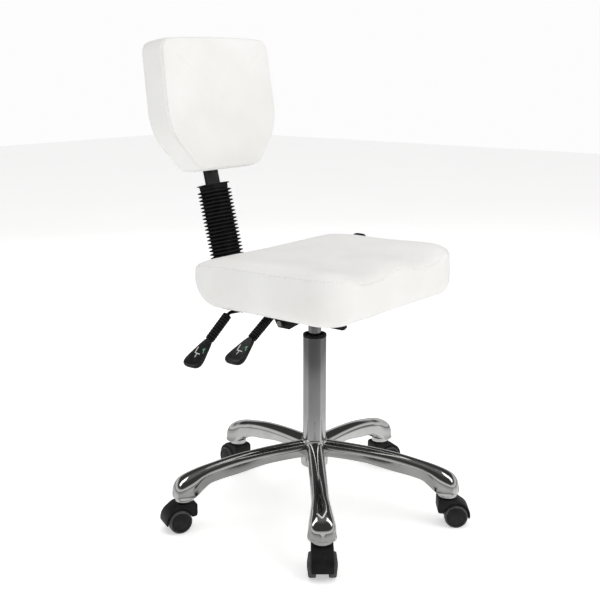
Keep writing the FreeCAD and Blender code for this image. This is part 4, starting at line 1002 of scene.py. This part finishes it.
def puff(obj, cap, pressure, held):
    """Inflate a closed shape as cloth, no point by more than a cap in millimetres, and relax it."""
    start = [v.co.copy() for v in obj.data.vertices]
    group = obj.vertex_groups.new(name="held")
    group.add([v.index for v in obj.data.vertices if held(v.co)], 1.0, "REPLACE")
    cloth = obj.modifiers.new("Cloth", "CLOTH")
    settings = cloth.settings
    settings.quality = 6
    settings.mass = 0.3
    settings.tension_stiffness = 20
    settings.compression_stiffness = 20
    settings.shear_stiffness = 10
    settings.bending_stiffness = 6
    settings.use_pressure = True
    settings.uniform_pressure_force = pressure
    settings.vertex_group_mass = "held"
    settings.effector_weights.gravity = 0
    cloth.collision_settings.use_collision = False
    cloth.collision_settings.use_self_collision = False
    cloth.point_cache.frame_start = 1
    cloth.point_cache.frame_end = CLOTH_FRAMES
    for step in range(1, CLOTH_FRAMES + 1):
        bpy.context.scene.frame_set(step)
    settle(obj, 180)
    bpy.context.scene.frame_set(1)
    for vertex, before in zip(obj.data.vertices, start):
        move = vertex.co - before
        if move.length > cap * MM:
            vertex.co = before + move.normalized() * cap * MM
    relax = obj.modifiers.new("Relax", "SMOOTH")
    relax.vertex_group = "held"
    relax.invert_vertex_group = True
    relax.iterations = 14
    settle(obj, 180)
    obj.vertex_groups.clear()


def on_surface(obj, path, sink):
    """Move points to the nearest place on a surface, sunk by a depth in millimetres."""
    tree = BVHTree.FromObject(obj, bpy.context.evaluated_depsgraph_get())
    out = []
    for point in path:
        at, normal, _, _ = tree.find_nearest(Vector(point) * MM)
        out.append((at / MM) - normal * sink)
    return out


def tree_of(path, scale=1):
    """A tree that finds a path's nearest point."""
    tree = KDTree(len(path))
    for i, point in enumerate(path):
        tree.insert(Vector(point) * scale, i)
    tree.balance()
    return tree


def near_seam(path):
    """A test for places so near to a seam that the cloth stays still there."""
    tree = tree_of(path, MM)
    return lambda co: tree.find(co)[2] < SEAM_HOLD * MM


def smooth_loop(points, times):
    """A closed path with its kinks averaged out."""
    for _ in range(times):
        count = len(points)
        points = [(points[i - 1] + points[i] * 2 + points[(i + 1) % count]) / 4 for i in range(count)]
    return points


def crease(obj, path, depth, reach, pucker, pitch):
    """Press a surface in along a seam, with small puckers beside it."""
    tree = tree_of(path)
    normals = [v.normal.copy() for v in obj.data.vertices]
    for vertex, normal in zip(obj.data.vertices, normals):
        distance = tree.find(vertex.co / MM)[2]
        if distance > reach * 5:
            continue
        fall = math.exp(-((distance / reach) ** 2))
        ripple = noise.noise(vertex.co / MM / pitch) * pucker * math.exp(-((distance / (reach * 2.4)) ** 2))
        vertex.co += normal * (ripple - depth * fall) * MM


def add_welt(name, cushion, body, seam):
    line = smooth_loop(on_surface(cushion, seam, WELT_SINK), 2)
    dress(closed_sweep(name, line, WELT_RADIUS, WELT_SIDES, 60), body, "white_leatherette")


SEAT_HALF_WIDTH, SEAT_FRONT, SEAT_REAR = 228, -219.5, 143.5
SEAT_FOOT, SEAT_CORNER, SEAT_REAR_CORNER = 486, 55, 21
REAR_SLOPE_START, REAR_SLOPE_DEPTH, REAR_SLOPE_HEIGHT = 40, 38, 34
SEAM_INSET, SEAM_LEVEL = 3.4, 572.5
SIDE_PULL, CROWN, LEG_DIP, SITTING_DIP = 2.2, 19, 13.5, 6.5


def seat_outline(inset):
    """Plan of the seat drawn in by an inset; its sides pull in slightly between the corners."""
    half_x = SEAT_HALF_WIDTH - inset
    half_y = (SEAT_REAR - SEAT_FRONT) / 2 - inset
    middle = (SEAT_REAR + SEAT_FRONT) / 2
    radius = max(SEAT_CORNER - inset * 0.55, 8)
    rear_radius = max(SEAT_REAR_CORNER - inset * 0.3, 8)
    out = []
    for x, y in rounded_rectangle(half_x, half_y, radius, 11, 22, rear_radius):
        pull_x = SIDE_PULL * math.cos(y / half_y * math.pi / 2) if abs(y) < half_y else 0
        pull_y = SIDE_PULL * math.cos(x / half_x * math.pi / 2) if abs(x) < half_x else 0
        share_x = abs(x) / half_x
        share_y = abs(y) / half_y
        out.append((x * (1 - pull_x / half_x * share_x), y * (1 - pull_y / half_y * share_y) + middle))
    return out


def thigh_dip(x, y):
    """Depth of the two leg hollows at the front, each side of the pommel."""
    fade = 1 - smoothstep((y - SEAT_FRONT - 16) / 165)
    return LEG_DIP * math.exp(-(((abs(x) - 100) / 58) ** 4)) * fade


def seam_height(x, y):
    """Level of the seam, higher at the front corners and lower in the leg hollows and at the rear."""
    front_corner = 4 * smoothstep((abs(x) - 120) / 70) * smoothstep((-30 - y) / 150)
    rear = 3 * smoothstep((y - 60) / 80)
    return SEAM_LEVEL + front_corner - thigh_dip(x, y) - rear


def seat_top(x, y, inset):
    """Level of the crowned top, which is dished where one sits."""
    crown = CROWN * (1 - 0.3 * smoothstep((y - 50) / 90)) * (1 - math.exp(-(inset - SEAM_INSET) / 9))
    dish = math.hypot(x / 165, (y - 4) / 112)
    hollow = SITTING_DIP * smoothstep((1.15 - dish) / 0.5)
    return seam_height(x, y) + crown - hollow


def under_slope(y, rise):
    """Draw a point forward to the slope under the rear edge."""
    cut = REAR_SLOPE_DEPTH * max(0.0, 1 - rise / REAR_SLOPE_HEIGHT)
    return y - cut * max(0.0, y - REAR_SLOPE_START) / (SEAT_REAR - REAR_SLOPE_START)


def make_seat():
    rings = []
    for inset in (150, 110, 70, 40, 24):
        rings.append([(x, under_slope(y, 0), SEAT_FOOT + 0.2) for x, y in seat_outline(inset)])
    sides = (
        (16, 0.6), (9.5, 2.6), (5, 5.8), (2, 10.5), (0.5, 16), (0, 24), (-0.6, 36), (-1, 50),
        (-0.6, 62), (0.3, 72), (1.6, 80),
    )
    for inset, rise in sides:
        ring = []
        for x, y in seat_outline(inset):
            z = SEAT_FOOT + rise
            if rise > 60:
                z = min(z, seam_height(x, y) - 3.5 + (rise - 80) * 0.12)
            ring.append((x, under_slope(y, rise), z))
        rings.append(ring)
    rings.append([(x, y, seam_height(x, y) - 1.3) for x, y in seat_outline(SEAM_INSET - 1.4)])
    seam = [(x, y, seam_height(x, y)) for x, y in seat_outline(SEAM_INSET)]
    rings.append([(x, y, seam_height(x, y)) for x, y in seat_outline(SEAM_INSET + 1.7)])
    for inset in (4.4, 6, 9, 13, 18, 24, 32, 42, 54, 68, 84, 100, 118, 136, 154, 166):
        rings.append([(x, y, seat_top(x, y, inset)) for x, y in seat_outline(inset)])
    seat = loft("Seat cushion", rings, 180)
    at_seam = near_seam(seam)
    puff(seat, 2.5, 2.0, lambda co: co.z < (SEAT_FOOT + 2.5) * MM or at_seam(co))
    path = smooth_loop(on_surface(seat, seam, 0), 2)
    subdivide(seat, 180)
    crease(seat, path, 1.3, 2.4, 0.7, 12)
    dress(seat, "seat", "white_leatherette", "seat_cushion", "seat_board")
    add_welt("Seat seam", seat, "seat", path)
    sheet = [[(x, under_slope(y, 0), z) for x, y in seat_outline(34)] for z in (484.9, 486.4)]
    dress(loft("Under cloth", sheet), "seat", "black_cloth", "seat_undercloth")


make_seat()

PAD = Matrix.Translation(Vector((0, 233, 730)) * MM) @ Matrix.Rotation(math.radians(-8), 4, "X")
PAD_DEPTH = 62
FULLNESS = 3.2  # makes up for what smoothing takes off
SHIELD_POINTS = 168
BOW_START, TOP_BOW = 246, 4


def shield_outline(inset):
    """The back cushion's outline, in its own plane, drawn in by an inset."""
    corners = [(96, 14), (174, 101), (167, 296), (-167, 296), (-174, 101), (-96, 14)]
    radii = [36, 120, 28, 28, 120, 36]
    out = []
    total = len(corners)
    for i in range(total):
        before, corner, after = (Vector(corners[k % total]) for k in (i - 1, i, i + 1))
        a, b = (before - corner).normalized(), (after - corner).normalized()
        half = a.angle(b) / 2
        reach = radii[i] / math.tan(half)
        start, end = corner + a * reach, corner + b * reach
        out += [bend(start, corner, end, k / 14) for k in range(15)]
    # Even spacing, then a bowed top edge and the inset along each point's normal.
    lengths = [0.0]
    for i in range(len(out)):
        lengths.append(lengths[-1] + (out[(i + 1) % len(out)] - out[i]).length)
    even = []
    j = 0
    for k in range(SHIELD_POINTS):
        goal = lengths[-1] * k / SHIELD_POINTS
        while lengths[j + 1] < goal:
            j += 1
        t = (goal - lengths[j]) / (lengths[j + 1] - lengths[j])
        even.append(out[j].lerp(out[(j + 1) % len(out)], t))
    final = []
    for k in range(SHIELD_POINTS):
        run = even[(k + 1) % SHIELD_POINTS] - even[k - 1]
        normal = Vector((run.y, -run.x)).normalized()
        point = even[k] - normal * (inset - FULLNESS)
        if point.y > BOW_START:
            point.y -= TOP_BOW * (point.x / 165) ** 2 * smoothstep((point.y - BOW_START) / 40)
        final.append(point)
    return final


def shield_face(inset, steps):
    """Sections of a broad face, each a share of an outline drawn to the pad's middle."""
    middle = 160
    outline = shield_outline(inset)
    return [
        [(p.x * share, depth, middle + (p.y - middle) * share) for p in outline] for share, depth in steps
    ]


def make_backrest():
    rings = shield_face(14, [(share, PAD_DEPTH) for share in (0.06, 0.2, 0.4, 0.6, 0.8)])
    for inset, depth in (
        (14, PAD_DEPTH), (8, 61.6), (4, 60), (2.6, 57), (2, 48), (1, 38), (0.6, 28), (1.0, 18),
        (1.8, 10), (2.6, 5), (3, 2.2),
    ):
        rings.append([(p.x, depth, p.y) for p in shield_outline(inset)])
    seam = [(p.x, 0.5, p.y) for p in shield_outline(4.2)]
    rings.append([(p.x, 0.9, p.y) for p in shield_outline(5.4)])
    rings.append([(p.x, -1.2, p.y) for p in shield_outline(5)])
    for inset, depth in ((7, -2.6), (11, -4.6), (17, -6.2), (26, -7.2)):
        rings.append([(p.x, depth, p.y) for p in shield_outline(inset)])
    rings += shield_face(26, [
        (0.93, -7.7), (0.84, -8.1), (0.73, -8.4), (0.6, -8.6), (0.46, -8.8), (0.32, -8.9), (0.18, -9),
        (0.06, -9),
    ])
    back = loft("Back cushion", rings, 180)
    back.data.transform(PAD)
    turned = PAD.inverted()
    seam = [tuple(PAD @ (Vector(p) * MM) / MM) for p in seam]
    at_seam = near_seam(seam)
    puff(back, 2, 1.6, lambda co: (turned @ co).y > 54 * MM or at_seam(co))
    rear_seam = [tuple(PAD @ (Vector((p.x, 55.5, p.y)) * MM) / MM) for p in shield_outline(3)]
    path = smooth_loop(on_surface(back, seam, 0), 2)
    rear_path = smooth_loop(on_surface(back, rear_seam, 0), 3)
    subdivide(back, 180)
    crease(back, path, 1.3, 2.4, 0.6, 11)
    crease(back, rear_path, 1.2, 2.6, 0.6, 11)
    dress(back, "backrest", "white_leatherette", "back_cushion", "back_board")
    add_welt("Back front seam", back, "backrest", path)
    add_welt("Back rear seam", back, "backrest", rear_path)


make_backrest()
